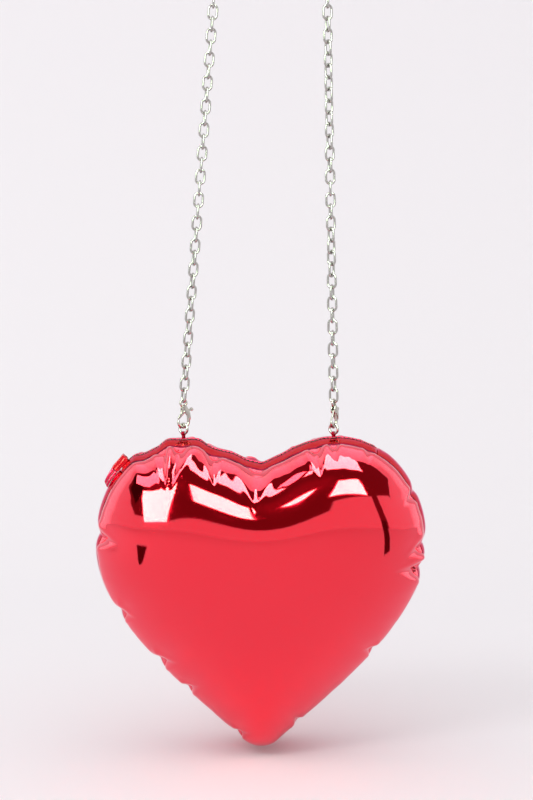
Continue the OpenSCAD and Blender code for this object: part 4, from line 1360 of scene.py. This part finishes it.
def clasp_shells():
    """The hook's wire and spine, two cheeks and the eye, about the middle of the hook."""
    bend = np.radians(np.linspace(HOOK_TIP, 360, 44))
    line = np.concatenate([HOOK_R * unit_circle(bend), SPINE])
    radii = np.concatenate([np.linspace(*swells) for swells in HOOK_SWELLS])
    radii[:2] = HOOK_POINT
    cheek = rounded_loop(CHEEK)
    return [
        tube(np.column_stack([line, 0 * line[:, 0]]), radii, (0, 0, 1), 18),
        plate(cheek, -CHEEK_FAR, -CHEEK_NEAR, CHEEK_LIP),
        plate(cheek, CHEEK_NEAR, CHEEK_FAR, CHEEK_LIP),
        tube(flat_ring(EYE_R, EYE_UP, 48), EYE_WIRE_R, (0, 0, 1), 16, closed=True),
    ]


def gate_shells():
    """The gate's arm down to the hook's tip, its lever and the knob."""
    knob = capsule(GATE_KNOB - [0.01, 0], GATE_KNOB, KNOB_R, KNOB_R)
    return [
        plate(capsule(PIN_AT, GATE_TIP, *ARM_HALVES), GATE_FROM, GATE_TO, GATE_LIP),
        plate(capsule(PIN_AT, GATE_KNOB, *LEVER_HALVES), GATE_FROM, GATE_TO, GATE_LIP),
        plate(knob, -KNOB_DEPTH, KNOB_DEPTH, KNOB_LIP),
    ]


def pin_shells():
    """The pin with two low domed heads."""
    circle = unit_circle(full_turn(20))
    ends = [(-depth, radius) for depth, radius in CLASP_PIN] + list(CLASP_PIN[::-1])
    return [ringed_shell([np.column_stack([PIN_AT + r * circle, np.full(20, depth)]) for depth, r in ends])]


def spring_shells():
    """Two turns of thin wire round the pin, a leg out along the gate and one along the spine."""
    turn = np.linspace(0, 4 * math.pi, 56)
    circle = PIN_AT + SPRING_R * unit_circle(turn)
    coil = np.column_stack([circle, SPRING_Y + SPRING_RISE * turn])
    return [tube(np.concatenate([GATE_LEG, coil, SPINE_LEG]), SPRING_WIRE_R, (0, 0, 1), 8)]


clasp_metal = polished_metal("clasp_metal", (0.50, 0.465, 0.42, 1), (0.31, 0.28, 0.26, 1))
spring_steel = polished_metal("spring_steel", (0.50, 0.50, 0.52, 1), (0.32, 0.32, 0.34, 1), 0.3)
for end, x in RINGS.items():
    for part, shells, material, slot, body in (
        ("body", clasp_shells(), clasp_metal, "clasp_metal", "clasp"),
        ("gate", gate_shells(), clasp_metal, "clasp_metal", "gate"),
        ("pin", pin_shells(), clasp_metal, "clasp_metal", "clasp"),
        ("spring", spring_shells(), spring_steel, "spring_steel", "clasp"),
    ):
        hung = turned_shells(shells, lambda points: upright(x, HOOK_UP, CLASP_YAW[end], points))
        piece = closed_piece(f"{end}_clasp_{part}", hung, 35)
        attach(dressed(piece, material, f"clasp_{part}_{end}"), f"{body}_{end}")

# Chain
# The strap is one run of oval steel links, each turned a quarter from the last, from one
# clasp's eye up, over and down to the other's.
LINK_L, LINK_W, LINK_WIRE_R, LINK_PLAY = 10.0, 6.5, 0.75, 0.08
PITCH = LINK_L - 4 * LINK_WIRE_R - LINK_PLAY
STRAND_LINKS, ARC_LINKS = 18, 15
# The first link hangs in the top of the eye, whose CAD wire is EYE_HALF thick each way, and
# sinks into it by a seat. The chain's steps start half a step below that link's middle.
EYE_HALF, SEAT = 0.8, 0.05
EYE_INSIDE = HOOK_UP + EYE_UP + EYE_R - EYE_HALF
CHAIN_LOW = EYE_INSIDE - SEAT - 2 * LINK_WIRE_R + LINK_L / 2 - PITCH / 2
STRAP_X = STRAP_TOP[0]
STRAND_RISE = 2 * STRAND_LINKS * PITCH
ARC_Z = CHAIN_LOW + STRAND_RISE
ARC_STEP = math.radians(180 / ARC_LINKS)
ARC_R = PITCH / (2 * math.sin(ARC_STEP / 2))
TWIST = {"left": 12.0, "right": 42.0}


def link_shell():
    """One link, its long axis up: a wire along two half circles and two straights."""
    bend = np.radians(np.linspace(0, 180, 15))
    reach, bow = (LINK_L - LINK_W) / 2, LINK_W / 2 - LINK_WIRE_R
    over = np.stack([bow * np.cos(bend), 0 * bend, reach + bow * np.sin(bend)], 1)
    return tube(np.concatenate([over, over * [-1, 1, -1]]), LINK_WIRE_R, (0, 1, 0), 12, closed=True)


def turned_links(places, leans, turns):
    """Links turned about their own long axis, then leant in the strap's plane, then moved."""
    points, quads, triangles = link_shell()
    links = []
    for place, lean, turn in zip(places, leans, turns):
        x = points[:, 0] * math.cos(turn) - points[:, 1] * math.sin(turn)
        y = points[:, 0] * math.sin(turn) + points[:, 1] * math.cos(turn)
        leant_x = x * math.cos(lean) + points[:, 2] * math.sin(lean)
        leant_z = points[:, 2] * math.cos(lean) - x * math.sin(lean)
        links.append((place + np.stack([leant_x, y, leant_z], 1), quads, triangles))
    return links


def strand_links(end, first):
    """Half a strand: its links climb from the clasp towards the arc, twisting a little."""
    foot_x, top_x = RINGS[end], STRAP_X + (-ARC_R if end == "left" else ARC_R)
    lean = math.atan2(top_x - foot_x, STRAND_RISE)
    link = np.arange(first, first + STRAND_LINKS)
    up = (link + 0.5) / (2 * STRAND_LINKS)
    along = (link - first) / (STRAND_LINKS - 1)
    flat = np.stack([foot_x + (top_x - foot_x) * up, CHAIN_LOW + STRAND_RISE * up], 1)
    turns = np.radians(90 * (link + 1) + TWIST[end] * np.sin(math.pi * along))
    if first == 0:
        turns = turns + CLASP_YAW[end] * (1 - along)
    return turned_links(at_depth(flat, STRAP_Y), [lean] * STRAND_LINKS, turns)


def arc_chain():
    """The links over the top of the strap, each on a chord of the arc."""
    link = np.arange(ARC_LINKS)
    around = (link + 0.5) * ARC_STEP
    flat = [STRAP_X, ARC_Z] + ARC_R * math.cos(ARC_STEP / 2) * unit_circle(math.pi - around)
    return turned_links(at_depth(flat, STRAP_Y), around, np.radians(90 * (link + 1)))


chain_steel = polished_metal("chain_steel", (0.46, 0.44, 0.42, 1), (0.26, 0.25, 0.24, 1))
runs = [("arc", "chain_top", "strap_top", arc_chain())]
for end in RINGS:
    for half, first in (("lower", 0), ("upper", STRAND_LINKS)):
        name = f"{end}_{half}"
        runs.append((name, f"chain_{name}", f"strand_{name}", strand_links(end, first)))
for label, node, body, links in runs:
    run = closed_piece(f"{label}_links", links, 60)
    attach(dressed(run, chain_steel, node), body)
